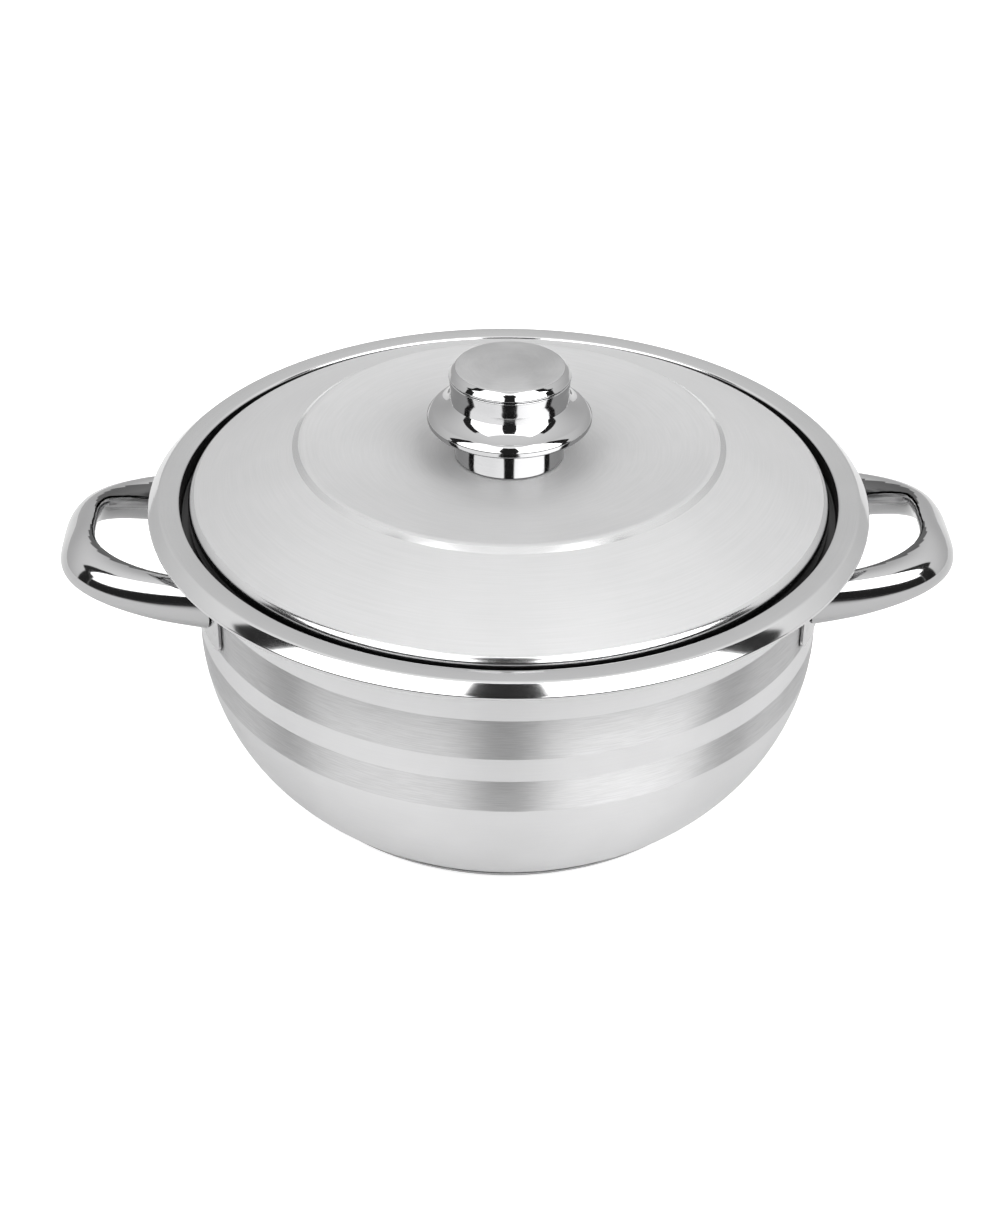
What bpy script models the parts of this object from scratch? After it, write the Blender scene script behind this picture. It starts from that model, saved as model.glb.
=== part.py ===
"""Stainless steel cooking pot with a lift-off domed lid, in metres, +Z up.

The origin is on the pot's axis, on the face that it stands on. The handles point along +X and -X, and
the front of the pot is towards -Y. The vessel, its base and its handles are one rigid body, and the lid
with its knob is the other: it drops into the recess inside the rim and lifts straight out.
"""

import math

import bmesh
import bpy
from mathutils import Vector

# How finely the round pieces are cut
VESSEL_STEPS = 48
KNOB_STEPS = 32
SCREW_STEPS = 20
BEND_STEPS = 1
BOWL_STEPS = 6
ROLL_STEPS = 3

# Left between faces that touch, and the distance within which mesh points are one
SEAT_GAP = 0.0003
WELD_DISTANCE = 0.000002
SHARP_ANGLE = math.radians(35)

# Vessel: one drawn sheet, from the floor over the bowl and the ledge for the lid to the rolled rim
VESSEL_SHEET = 0.0008
FLOOR_HEIGHT = 0.0055
FLOOR_RADIUS = 0.0931
FLOOR_BEND_RADIUS = 0.004
WALL_FOOT_HEIGHT = 0.070
WALL_RADIUS = 0.1246
LEDGE_HEIGHT = 0.1186
LEDGE_WIDTH = 0.0050
LEDGE_BEND_RADIUS = 0.0012
RECESS_DEPTH = 0.0079
RIM_WIDTH = 0.0126
RIM_INNER_BEND_RADIUS = 0.0014
RIM_CREST_SETBACK = 0.0038
RIM_CREST_RISE = 0.0003
RIM_CREST_BEND_RADIUS = 0.0020
RIM_EDGE_DROP = 0.0035
RIM_EDGE_BEND_RADIUS = 0.0006
RIM_CURL_DROP = 0.0004
RIM_CURL_RADIUS = 0.0006
RECESS_RADIUS = WALL_RADIUS + LEDGE_WIDTH
RIM_RADIUS = RECESS_RADIUS + RIM_WIDTH
RIM_TOP_HEIGHT = LEDGE_HEIGHT + RECESS_DEPTH

# Base: an aluminium disc shut in under the floor by a steel cap
BASE_SHEET = 0.0006
BASE_SETBACK = 0.0003
BASE_FLARE = 0.0044
BASE_BEND_RADIUS = 0.0016
BASE_BAND_HEIGHT = 0.0012
BASE_TOP_RADIUS = FLOOR_RADIUS - BASE_SETBACK
BASE_FOOT_RADIUS = BASE_TOP_RADIUS - BASE_FLARE

# Handles: a strip rolled into a tube whose edges meet in an open seam along its inner side
HANDLE_SHEET = 0.0010
HANDLE_SEAM = 0.0011
HANDLE_PROJECTION = 0.0463
HANDLE_ROOT_DEPTH = 0.0299
HANDLE_HALF_SPREAD = 0.0423
HANDLE_SQUARENESS = 3.33
HANDLE_TIP_REACH = WALL_RADIUS + HANDLE_PROJECTION
HANDLE_ROOT_REACH = WALL_RADIUS - HANDLE_ROOT_DEPTH
ROOT_BELOW_LEDGE = 0.0217
GRIP_RISE = 0.0089
ROOT_HEIGHT = LEDGE_HEIGHT - ROOT_BELOW_LEDGE
GRIP_HEIGHT = ROOT_HEIGHT + GRIP_RISE
GRIP_HALF_WIDTH = 0.0093
GRIP_HALF_THICKNESS = 0.0044
GRIP_TILT = math.radians(48)
ROOT_HALF_WIDTH = 0.0089
ROOT_HALF_THICKNESS = 0.0113
ROOT_TILT = math.radians(12)
HANDLE_BLEND_POWER = 3
THICKENING_POWER = 2.5
HANDLE_STATIONS = 17
HANDLE_SECTION_POINTS = 16
PATH_SAMPLES = 400

# Plates that carry the handles on the wall
PLATE_SHEET = 0.0012
PLATE_SIDE_MARGIN = 0.0086
PLATE_END_MARGIN = 0.0017
PLATE_CORNER_RADIUS = 0.004
PLATE_CORNER_STEPS = 3
PLATE_STRIPS = 6

# Screw up through the lid into the knob, and its washers
SCREW_RADIUS = 0.0022
SCREW_HOLE_PLAY = 0.0006
SCREW_HEAD_OVERHANG = 0.0026
SCREW_HEAD_HEIGHT = 0.0030
SCREW_HEAD_CROWN_SHARE = 0.45
SCREW_REACH_SHARE = 0.80
WASHER_WIDTH = 0.0042
WASHER_SHEET = 0.0010
SPRING_WASHER_WIDTH = 0.0020
SPRING_WASHER_SHEET = 0.0013
SPRING_WASHER_OPENING = math.radians(12)
SPRING_WASHER_RISE_SHARE = 0.35
SCREW_HOLE_RADIUS = SCREW_RADIUS + SCREW_HOLE_PLAY

# Lid: a spun dome with a raised disc, dished towards its middle
LID_SHEET = 0.0006
LID_PLAY = 0.0032
LID_SHOULDER_RISE = 0.0060
LID_SHOULDER_RADIUS = 0.0045
LID_SHOULDER_START = 64
LID_SHOULDER_STEPS = 3
LID_CURL_RADIUS = 0.0010
LID_DOME_RISE = 0.0219
LID_DOME_BULGE = 0.0010
LID_DOME_STEPS = 3
RING_RADIUS = 0.0846
RING_STEP = 0.0021
RING_STEP_WIDTH = 0.0030
RING_EDGE_RADIUS = 0.0024
RING_CORNER_RADIUS = 0.0008
LID_DISH_DEPTH = 0.0075
LID_DISH_POWER = 1.6
LID_DISH_STEPS = 4
LID_RADIUS = RECESS_RADIUS - LID_PLAY
LID_SHOULDER_HEIGHT = LEDGE_HEIGHT + LID_SHOULDER_RISE
RING_HEIGHT = LID_SHOULDER_HEIGHT + LID_DOME_RISE
LID_CENTRE_HEIGHT = RING_HEIGHT + RING_STEP - LID_DISH_DEPTH

# Knob: a collar on the lid, a waisted skirt over it and a cap, hollow, with a boss inside for the screw
KNOB_SHEET = 0.0007
SKIRT_EDGE_ABOVE_LID = 0.0146
SKIRT_CURL_RADIUS = 0.0008
SKIRT_LIP_HEIGHT = 0.0052
SKIRT_LIP_WIDTH = 0.0030
SKIRT_LIP_CROWN_SHARE = 0.75
SKIRT_FLARE_HEIGHT = 0.0046
SKIRT_FLARE_WIDTH = 0.0087
WAIST_HEIGHT = 0.0094
WAIST_SHARE = 0.45
WAIST_RADIUS = 0.0230
WAIST_FOOT_FLARE = 0.0004
WAIST_TOP_FLARE = 0.0006
SPIGOT_HEIGHT = 0.0010
SPIGOT_PLAY = 0.0005
CAP_OVERHANG = 0.0008
CAP_BAND_HEIGHT = 0.0004
CAP_BEVEL_WIDTH = 0.0035
CAP_BEVEL_HEIGHT = 0.0034
CAP_BEND_RADIUS = 0.0010
CAP_CROWN = 0.0004
COLLAR_PLAY = 0.0009
COLLAR_SEAT_WIDTH = 0.004
BOSS_WALL = 0.0025
BOSS_FLANGE = 0.0015
BOSS_TOP = 0.0030
BOSS_BLIND_DEPTH = 0.0015
WAIST_FOOT_RADIUS = WAIST_RADIUS + WAIST_FOOT_FLARE
WAIST_TOP_RADIUS = WAIST_RADIUS + WAIST_TOP_FLARE
SKIRT_RADIUS = WAIST_FOOT_RADIUS + SKIRT_FLARE_WIDTH
CAP_RADIUS = WAIST_RADIUS + CAP_OVERHANG
COLLAR_RADIUS = WAIST_RADIUS - KNOB_SHEET - COLLAR_PLAY
SKIRT_EDGE_HEIGHT = LID_CENTRE_HEIGHT + SKIRT_EDGE_ABOVE_LID
SKIRT_LIP_TOP = SKIRT_EDGE_HEIGHT + SKIRT_LIP_HEIGHT
WAIST_FOOT_HEIGHT = SKIRT_LIP_TOP + SKIRT_FLARE_HEIGHT
WAIST_NARROW_HEIGHT = WAIST_FOOT_HEIGHT + WAIST_HEIGHT * WAIST_SHARE
WAIST_TOP_HEIGHT = WAIST_FOOT_HEIGHT + WAIST_HEIGHT

FULL_TURN = math.radians(360)


def clear_scene():
    for obj in list(bpy.data.objects):
        bpy.data.objects.remove(obj, do_unlink=True)


def metal(name, colour, roughness):
    """A bare metal material."""
    material = bpy.data.materials.new(name)
    material.use_nodes = True
    shader = material.node_tree.nodes["Principled BSDF"]
    shader.inputs["Base Color"].default_value = (*colour, 1)
    shader.inputs["Roughness"].default_value = roughness
    shader.inputs["Metallic"].default_value = 1
    return material


def add_piece(name, bm, material):
    """Turns a finished bmesh into a named object that is shaded smooth."""
    bmesh.ops.recalc_face_normals(bm, faces=bm.faces)
    mesh = bpy.data.meshes.new(name)
    bm.to_mesh(mesh)
    bm.free()
    mesh.shade_smooth()
    mesh.set_sharp_from_angle(angle=SHARP_ANGLE)
    mesh.materials.append(material)
    return place(name, mesh)


def place(name, mesh):
    piece = bpy.data.objects.new(name, mesh)
    bpy.context.scene.collection.objects.link(piece)
    return piece


def arc(centre, radii, start, end, steps):
    """Points (r, z) on an ellipse about centre, from start to end in degrees."""
    points = []
    for i in range(steps + 1):
        angle = math.radians(start + (end - start) * i / steps)
        points.append(
            (
                centre[0] + radii[0] * math.cos(angle),
                centre[1] + radii[1] * math.sin(angle),
            )
        )
    return points


def bent(corners, steps=BEND_STEPS):
    """The line through corners (r, z, bend radius), with an arc for each corner that has a radius."""
    line = []
    for i, (r, z, radius) in enumerate(corners):
        corner = Vector((r, z))
        if radius == 0:
            line.append(tuple(corner))
            continue
        back = (Vector(corners[i - 1][:2]) - corner).normalized()
        ahead = (Vector(corners[i + 1][:2]) - corner).normalized()
        half = back.angle(ahead) / 2
        centre = corner + (back + ahead).normalized() * radius / math.sin(half)
        first = corner + back * radius / math.tan(half) - centre
        last = corner + ahead * radius / math.tan(half) - centre
        start = math.atan2(first.y, first.x)
        turn = math.remainder(math.atan2(last.y, last.x) - start, FULL_TURN)
        line += arc(
            centre, (radius, radius), math.degrees(start), math.degrees(start + turn), steps
        )
    return line


def beside(line, distance):
    """The line parallel to line, at this distance to its right. A point on the axis stays on it."""
    found = []
    for i, point in enumerate(line):
        normals = []
        for a, b in ((i - 1, i), (i, i + 1)):
            if a < 0 or b == len(line):
                continue
            along = (Vector(line[b]) - Vector(line[a])).normalized()
            normals.append(Vector((along.y, -along.x)))
        mitre = sum(normals, Vector((0, 0))).normalized()
        moved = Vector(point) + mitre * distance / mitre.dot(normals[0])
        found.append((0 if point[0] == 0 else moved.x, moved.y))
    return found


def sheet_outline(line, thickness):
    """The outline of a sheet whose middle runs along line: down its right side and back up its left."""
    return beside(line, thickness / 2) + beside(line, -thickness / 2)[::-1]


def turned(name, outline, steps, material):
    """An outline (r, z) spun round the axis. An outline with no end on the axis is closed first."""
    bm = bmesh.new()
    points = [bm.verts.new((r, 0, z)) for r, z in outline]
    edges = [bm.edges.new(pair) for pair in zip(points, points[1:])]
    if outline[0][0] > 0:
        edges.append(bm.edges.new((points[-1], points[0])))
    bmesh.ops.spin(
        bm,
        geom=points + edges,
        cent=(0, 0, 0),
        axis=(0, 0, 1),
        angle=FULL_TURN,
        steps=steps,
        use_merge=True,
    )
    bmesh.ops.remove_doubles(bm, verts=bm.verts, dist=WELD_DISTANCE)
    return add_piece(name, bm, material)


def vessel_line():
    """The middle of the vessel's sheet: floor, bowl, upright wall, ledge, recess and rolled rim."""
    half = VESSEL_SHEET / 2
    floor = FLOOR_HEIGHT + half
    wall = WALL_RADIUS - half
    # The bowl's arc starts at the floor's edge and runs into the upright wall
    inset = wall - FLOOR_RADIUS
    depth = WALL_FOOT_HEIGHT - floor
    bowl_radius = (inset**2 + depth**2) / (2 * inset)
    bowl_centre = (wall - bowl_radius, WALL_FOOT_HEIGHT)
    drop = math.degrees(math.atan2(depth, bowl_radius - inset))
    bowl = arc(bowl_centre, (bowl_radius, bowl_radius), -drop, 0, BOWL_STEPS)
    ledge = LEDGE_HEIGHT - half
    recess = RECESS_RADIUS + half
    top = RIM_TOP_HEIGHT - half
    # The rim rises a little to its crest, falls steeply to its edge and curls under
    crest = top + RIM_CREST_RISE
    edge = RIM_RADIUS - half
    edge_height = crest - RIM_EDGE_DROP
    curl_centre = (edge - RIM_CURL_RADIUS, edge_height - RIM_CURL_DROP)
    curl = arc(curl_centre, (RIM_CURL_RADIUS, RIM_CURL_RADIUS), 0, -90, BEND_STEPS)
    corners = [(0, floor, 0), (*bowl[0], FLOOR_BEND_RADIUS)]
    corners += [(r, z, 0) for r, z in bowl[1:]]
    corners += [
        (wall, ledge, LEDGE_BEND_RADIUS),
        (recess, ledge, LEDGE_BEND_RADIUS),
        (recess, top, RIM_INNER_BEND_RADIUS),
        (RIM_RADIUS - RIM_CREST_SETBACK, crest, RIM_CREST_BEND_RADIUS),
        (edge, edge_height, RIM_EDGE_BEND_RADIUS),
    ]
    corners += [(r, z, 0) for r, z in curl]
    return bent(corners)


def base_cap_line():
    """The middle of the steel cap under the base, which ends in a short upright band under the floor."""
    half = BASE_SHEET / 2
    band_top = FLOOR_HEIGHT - SEAT_GAP
    return bent(
        [
            (0, half, 0),
            (BASE_FOOT_RADIUS - half, half, BASE_BEND_RADIUS),
            (BASE_TOP_RADIUS - half, band_top - BASE_BAND_HEIGHT, 0),
            (BASE_TOP_RADIUS - half, band_top, 0),
        ]
    )


def build_vessel(steel, aluminium):
    turned("pot_body", sheet_outline(vessel_line(), VESSEL_SHEET), VESSEL_STEPS, steel)
    cap = base_cap_line()
    turned("base_cap", sheet_outline(cap, BASE_SHEET), VESSEL_STEPS, steel)
    core = beside(cap, -(BASE_SHEET / 2 + SEAT_GAP))
    core.append((0, core[-1][1]))
    turned("base_core", core, VESSEL_STEPS, aluminium)


def seat_radius():
    """The outer face of the handle plates."""
    return WALL_RADIUS + SEAT_GAP + PLATE_SHEET


def handle_centre(angle):
    """The tube's middle line: 0 at the grip's tip, a quarter turn either way at its ideal roots."""
    reach = HANDLE_TIP_REACH - HANDLE_ROOT_REACH
    side = math.copysign(abs(math.sin(angle)) ** (2 / HANDLE_SQUARENESS), angle)
    x = HANDLE_ROOT_REACH + reach * math.cos(angle)
    y = HANDLE_HALF_SPREAD * side
    fade = abs(side) ** HANDLE_BLEND_POWER
    return Vector((x, y, GRIP_HEIGHT + (ROOT_HEIGHT - GRIP_HEIGHT) * fade))


def foot_angle():
    """Where the middle line meets the face of the plates."""
    stop = seat_radius() + SEAT_GAP
    quarter = FULL_TURN / 4
    for i in range(PATH_SAMPLES + 1):
        angle = quarter * i / PATH_SAMPLES
        if handle_centre(angle).xy.length <= stop:
            break
    return angle


def station_angles():
    """Angles that put the sections at even steps along the middle line, from one foot to the other."""
    end = foot_angle()
    samples = [end * (2 * i / PATH_SAMPLES - 1) for i in range(PATH_SAMPLES + 1)]
    run = [0]
    for a, b in zip(samples, samples[1:]):
        run.append(run[-1] + (handle_centre(b) - handle_centre(a)).length)
    angles = []
    for i in range(HANDLE_STATIONS):
        goal = run[-1] * i / (HANDLE_STATIONS - 1)
        nearest = min(range(len(run)), key=lambda k: abs(run[k] - goal))
        angles.append(samples[nearest])
    return angles


def handle_section(angle, next_to):
    """The tube's outer and inner points there, from one lip of the seam round to the other."""
    centre = handle_centre(angle)
    along = (handle_centre(next_to[1]) - handle_centre(next_to[0])).normalized()
    outward = Vector((along.y, -along.x, 0)).normalized()
    upward = outward.cross(along)
    fade = abs(centre.y / HANDLE_HALF_SPREAD)
    blend = fade**HANDLE_BLEND_POWER
    thicken = fade**THICKENING_POWER
    width = GRIP_HALF_WIDTH + (ROOT_HALF_WIDTH - GRIP_HALF_WIDTH) * blend
    thickness = GRIP_HALF_THICKNESS + (ROOT_HALF_THICKNESS - GRIP_HALF_THICKNESS) * thicken
    tilt = GRIP_TILT + (ROOT_TILT - GRIP_TILT) * blend
    broad = outward * math.cos(tilt) - upward * math.sin(tilt)
    narrow = outward * math.sin(tilt) + upward * math.cos(tilt)
    inside_width = width - HANDLE_SHEET
    inside_thickness = thickness - HANDLE_SHEET
    lip = math.asin(HANDLE_SEAM / (2 * thickness))
    outer, inner = [], []
    for i in range(HANDLE_SECTION_POINTS):
        turn = lip + (FULL_TURN - 2 * lip) * i / (HANDLE_SECTION_POINTS - 1)
        across, over = -math.cos(turn), math.sin(turn)
        outer.append(centre + broad * width * across + narrow * thickness * over)
        inner.append(centre + broad * inside_width * across + narrow * inside_thickness * over)
    return outer, inner, along


def slide_to_plate(point, away):
    """The point moved along the tube until it lies on the face of the plate."""
    flat, way = point.xy, away.xy.normalized()
    stop = seat_radius() + SEAT_GAP
    outward = flat.dot(way)
    run = math.sqrt(outward**2 - flat.length_squared + stop**2) - outward
    moved = flat + way * run
    return Vector((moved.x, moved.y, point.z))


def handle_mesh(material):
    bm = bmesh.new()
    angles = station_angles()
    rings = []
    for i, angle in enumerate(angles):
        next_to = (angles[max(i - 1, 0)], angles[min(i + 1, len(angles) - 1)])
        outer, inner, along = handle_section(angle, next_to)
        if i in (0, len(angles) - 1):
            away = along if i == 0 else -along
            outer = [slide_to_plate(p, away) for p in outer]
            inner = [slide_to_plate(p, away) for p in inner]
        rings.append([bm.verts.new(p) for p in outer + inner[::-1]])
    count = len(rings[0])
    for a, b in zip(rings, rings[1:]):
        for i in range(count):
            j = (i + 1) % count
            bm.faces.new((a[i], a[j], b[j], b[i]))
    for ring in (rings[0], rings[-1]):
        for i in range(HANDLE_SECTION_POINTS - 1):
            bm.faces.new((ring[i], ring[i + 1], ring[-2 - i], ring[-1 - i]))
    return add_piece("handle_right", bm, material)


def build_handles(steel):
    right = handle_mesh(steel)
    left = place("handle_left", right.data)
    left.rotation_euler.z = FULL_TURN / 2


def plate_piece(name, material):
    """A rectangle with round corners, bent round the wall behind a handle's foot, on the +X side."""
    half_width = ROOT_HALF_WIDTH + PLATE_SIDE_MARGIN
    half_height = ROOT_HALF_THICKNESS + PLATE_END_MARGIN
    bm = bmesh.new()
    outline = []
    for sign_u, sign_v, start in ((1, 1, 0), (-1, 1, 90), (-1, -1, 180), (1, -1, 270)):
        centre = (
            sign_u * (half_width - PLATE_CORNER_RADIUS),
            sign_v * (half_height - PLATE_CORNER_RADIUS),
        )
        radii = (PLATE_CORNER_RADIUS, PLATE_CORNER_RADIUS)
        outline += arc(centre, radii, start, start + 90, PLATE_CORNER_STEPS)
    face = bm.faces.new([bm.verts.new((0, u, v)) for u, v in outline])
    for i in range(1, PLATE_STRIPS):
        cut = half_width * (2 * i / PLATE_STRIPS - 1)
        bmesh.ops.bisect_plane(
            bm,
            geom=list(bm.verts) + list(bm.edges) + list(bm.faces),
            plane_co=(0, cut, 0),
            plane_no=(0, 1, 0),
        )
    front = bmesh.ops.extrude_face_region(bm, geom=list(bm.faces))
    raised = [v for v in front["geom"] if isinstance(v, bmesh.types.BMVert)]
    bmesh.ops.translate(bm, vec=(PLATE_SHEET, 0, 0), verts=raised)
    inner = WALL_RADIUS + SEAT_GAP
    middle = handle_centre(foot_angle()).z
    for vert in bm.verts:
        turn = vert.co.y / inner
        radius = inner + vert.co.x
        vert.co = (radius * math.cos(turn), radius * math.sin(turn), middle + vert.co.z)
    return add_piece(name, bm, material)


def build_plates(steel):
    foot = handle_centre(foot_angle())
    spread = math.atan2(foot.y, foot.x)
    half_turn = FULL_TURN / 2
    first = plate_piece("handle_plate_right_rear", steel)
    first.rotation_euler.z = spread
    for name, turn in (
        ("handle_plate_right_front", -spread),
        ("handle_plate_left_rear", half_turn - spread),
        ("handle_plate_left_front", half_turn + spread),
    ):
        place(name, first.data).rotation_euler.z = turn


def lid_line():
    """The middle of the lid's sheet: screw hole, dish, step, dome, shoulder and curled edge."""
    half = LID_SHEET / 2
    centre = LID_CENTRE_HEIGHT - half
    seat = COLLAR_RADIUS
    disc_edge = RING_RADIUS - RING_STEP_WIDTH
    disc_height = RING_HEIGHT + RING_STEP - half
    line = [(SCREW_HOLE_RADIUS, centre), (seat, centre)]
    for i in range(1, LID_DISH_STEPS + 1):
        share = i / (LID_DISH_STEPS + 1)
        rise = (disc_height - centre) * share**LID_DISH_POWER
        line.append((seat + (disc_edge - seat) * share, centre + rise))
    corners = [(r, z, 0) for r, z in line]
    corners += [
        (disc_edge, disc_height, RING_EDGE_RADIUS),
        (RING_RADIUS, RING_HEIGHT - half, RING_CORNER_RADIUS),
    ]
    shoulder_centre = (LID_RADIUS - LID_SHOULDER_RADIUS, LID_SHOULDER_HEIGHT)
    shoulder_radii = (LID_SHOULDER_RADIUS - half, LID_SHOULDER_RADIUS - half)
    shoulder = arc(
        shoulder_centre, shoulder_radii, LID_SHOULDER_START, 0, LID_SHOULDER_STEPS
    )
    start = Vector((RING_RADIUS, RING_HEIGHT - half))
    across = Vector(shoulder[0]) - start
    for i in range(1, LID_DOME_STEPS):
        share = i / LID_DOME_STEPS
        point = start + across * share
        point.y += 4 * LID_DOME_BULGE * share * (1 - share)
        corners.append((point.x, point.y, 0))
    corners += [(r, z, 0) for r, z in shoulder]
    edge = LEDGE_HEIGHT + SEAT_GAP + half
    skirt = LID_RADIUS - half
    corners += [
        (skirt, edge, LID_CURL_RADIUS),
        (skirt - 2 * LID_CURL_RADIUS, edge, 0),
    ]
    return bent(corners)


def build_lid(steel):
    line = lid_line()[::-1]
    turned("lid_shell", sheet_outline(line, LID_SHEET), VESSEL_STEPS, steel)


def skirt_line():
    """The middle of the skirt's sheet, from the spigot that takes the cap down to its curled edge."""
    half = KNOB_SHEET / 2
    lip_foot = SKIRT_EDGE_HEIGHT + SKIRT_CURL_RADIUS + half
    spigot = CAP_RADIUS - KNOB_SHEET - SPIGOT_PLAY - half
    lip_centre = (SKIRT_RADIUS - SKIRT_LIP_WIDTH, lip_foot)
    lip_radii = (SKIRT_LIP_WIDTH - half, SKIRT_LIP_TOP - lip_foot - half)
    lip = arc(lip_centre, lip_radii, 90 * SKIRT_LIP_CROWN_SHARE, 0, ROLL_STEPS)
    curl_centre = (SKIRT_RADIUS - half - SKIRT_CURL_RADIUS, lip_foot)
    curl = arc(curl_centre, (SKIRT_CURL_RADIUS, SKIRT_CURL_RADIUS), 0, -90, BEND_STEPS)
    flare_centre = (lip[0][0], WAIST_FOOT_HEIGHT)
    flare_radii = (lip[0][0] - WAIST_FOOT_RADIUS + half, WAIST_FOOT_HEIGHT - lip[0][1])
    flare = arc(flare_centre, flare_radii, 180, 270, ROLL_STEPS)
    return (
        [
            (spigot, WAIST_TOP_HEIGHT + SPIGOT_HEIGHT),
            (spigot, WAIST_TOP_HEIGHT),
            (WAIST_TOP_RADIUS - half, WAIST_TOP_HEIGHT),
            (WAIST_RADIUS - half, WAIST_NARROW_HEIGHT),
        ]
        + flare[:-1]
        + lip
        + curl[1:]
    )


def cap_line():
    """The middle of the cap's sheet, from its crown over a bevel to the edge that closes on the skirt."""
    half = KNOB_SHEET / 2
    seat = WAIST_TOP_HEIGHT + half + SEAT_GAP
    edge = CAP_RADIUS - half
    bevel_foot = seat + CAP_BAND_HEIGHT
    bevel_top = bevel_foot + CAP_BEVEL_HEIGHT
    return bent(
        [
            (0, bevel_top + CAP_CROWN, 0),
            (CAP_RADIUS - CAP_BEVEL_WIDTH, bevel_top, CAP_BEND_RADIUS),
            (edge, bevel_foot, CAP_BAND_HEIGHT / 2),
            (edge, seat, 0),
        ]
    )


def build_knob(steel, plated):
    """The knob's pieces. The boss's flange sits in the waist, on the collar, and holds both down."""
    turned("knob_skirt", sheet_outline(skirt_line(), KNOB_SHEET), KNOB_STEPS, steel)
    turned("knob_cap", sheet_outline(cap_line(), KNOB_SHEET), KNOB_STEPS, steel)
    seat = LID_CENTRE_HEIGHT + SEAT_GAP
    flange_foot = WAIST_NARROW_HEIGHT - BOSS_FLANGE
    tube = COLLAR_RADIUS - KNOB_SHEET / 2
    collar = [
        (tube, flange_foot - SEAT_GAP),
        (tube, seat + KNOB_SHEET / 2),
        (tube - COLLAR_SEAT_WIDTH, seat + KNOB_SHEET / 2),
    ]
    turned("knob_collar", sheet_outline(collar, KNOB_SHEET), KNOB_STEPS, steel)
    flange_radius = WAIST_RADIUS - KNOB_SHEET - SEAT_GAP
    boss_top = WAIST_NARROW_HEIGHT + BOSS_TOP
    bore = SCREW_RADIUS + SEAT_GAP
    bore_top = boss_top - BOSS_BLIND_DEPTH
    post = bore + BOSS_WALL
    boss = [
        (0, boss_top),
        (post, boss_top),
        (post, WAIST_NARROW_HEIGHT),
        (flange_radius, WAIST_NARROW_HEIGHT),
        (flange_radius, flange_foot),
        (post, flange_foot),
        (post, seat),
        (bore, seat),
        (bore, bore_top),
        (0, bore_top),
    ]
    turned("knob_boss", boss, KNOB_STEPS, plated)
    return bore_top


def spring_washer(name, top, material):
    """A split ring whose cut ends stand one above the other."""
    bm = bmesh.new()
    bore = SCREW_RADIUS + SEAT_GAP
    outside = bore + SPRING_WASHER_WIDTH
    rise = SPRING_WASHER_SHEET * SPRING_WASHER_RISE_SHARE
    foot = top - SPRING_WASHER_SHEET - rise
    square = (
        (bore, foot),
        (outside, foot),
        (outside, foot + SPRING_WASHER_SHEET),
        (bore, foot + SPRING_WASHER_SHEET),
    )
    section = bm.faces.new([bm.verts.new((r, 0, z)) for r, z in square])
    bmesh.ops.spin(
        bm,
        geom=list(section.edges) + list(section.verts) + [section],
        cent=(0, 0, 0),
        axis=(0, 0, 1),
        dvec=(0, 0, rise / SCREW_STEPS),
        angle=FULL_TURN - SPRING_WASHER_OPENING,
        steps=SCREW_STEPS,
    )
    bmesh.ops.remove_doubles(bm, verts=bm.verts, dist=WELD_DISTANCE)
    add_piece(name, bm, material)
    return foot


def build_fasteners(steel, bore_top):
    """The washers under the lid and the screw through them, which stops short of the bore's top."""
    hole = SCREW_HOLE_RADIUS
    washer_top = LID_CENTRE_HEIGHT - LID_SHEET - SEAT_GAP
    washer_foot = washer_top - WASHER_SHEET
    washer = [
        (hole, washer_top),
        (hole + WASHER_WIDTH, washer_top),
        (hole + WASHER_WIDTH, washer_foot),
        (hole, washer_foot),
    ]
    turned("flat_washer", washer, KNOB_STEPS, steel)
    spring_foot = spring_washer("spring_washer", washer_foot - SEAT_GAP, steel)
    head_top = spring_foot - SEAT_GAP
    head_radius = SCREW_RADIUS + SCREW_HEAD_OVERHANG
    crown = SCREW_HEAD_HEIGHT * SCREW_HEAD_CROWN_SHARE
    crown_centre = (0, head_top - SCREW_HEAD_HEIGHT + crown)
    reach = LID_CENTRE_HEIGHT + (bore_top - LID_CENTRE_HEIGHT) * SCREW_REACH_SHARE
    screw = [(0, reach), (SCREW_RADIUS, reach - SCREW_RADIUS / 2), (SCREW_RADIUS, head_top)]
    screw.append((head_radius, head_top))
    screw += arc(crown_centre, (head_radius, crown), 0, -90, ROLL_STEPS)[:-1]
    screw.append((0, head_top - SCREW_HEAD_HEIGHT))
    turned("knob_screw", screw, SCREW_STEPS, steel)


def main():
    clear_scene()
    satin = metal("satin_steel", (0.72, 0.72, 0.73), 0.30)
    polished = metal("polished_steel", (0.80, 0.80, 0.81), 0.08)
    zinc = metal("zinc_plated_steel", (0.62, 0.63, 0.65), 0.35)
    aluminium = metal("base_aluminium", (0.80, 0.81, 0.82), 0.40)
    build_vessel(satin, aluminium)
    build_handles(polished)
    build_plates(polished)
    build_lid(satin)
    bore_top = build_knob(polished, zinc)
    build_fasteners(zinc, bore_top)


main()
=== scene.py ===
"""Looks of a stainless steel cooking pot: fine forms, metal finishes, floor, light and camera.

Lengths are in metres, and everything stands where the plain solids have it. The vessel, its base
and its handles ride on the body "pot", and the lid with its knob rides on the body "lid". The front
of the pot is towards -Y.
"""

import math

import bmesh
import bpy
from mathutils import Matrix, Vector


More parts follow.
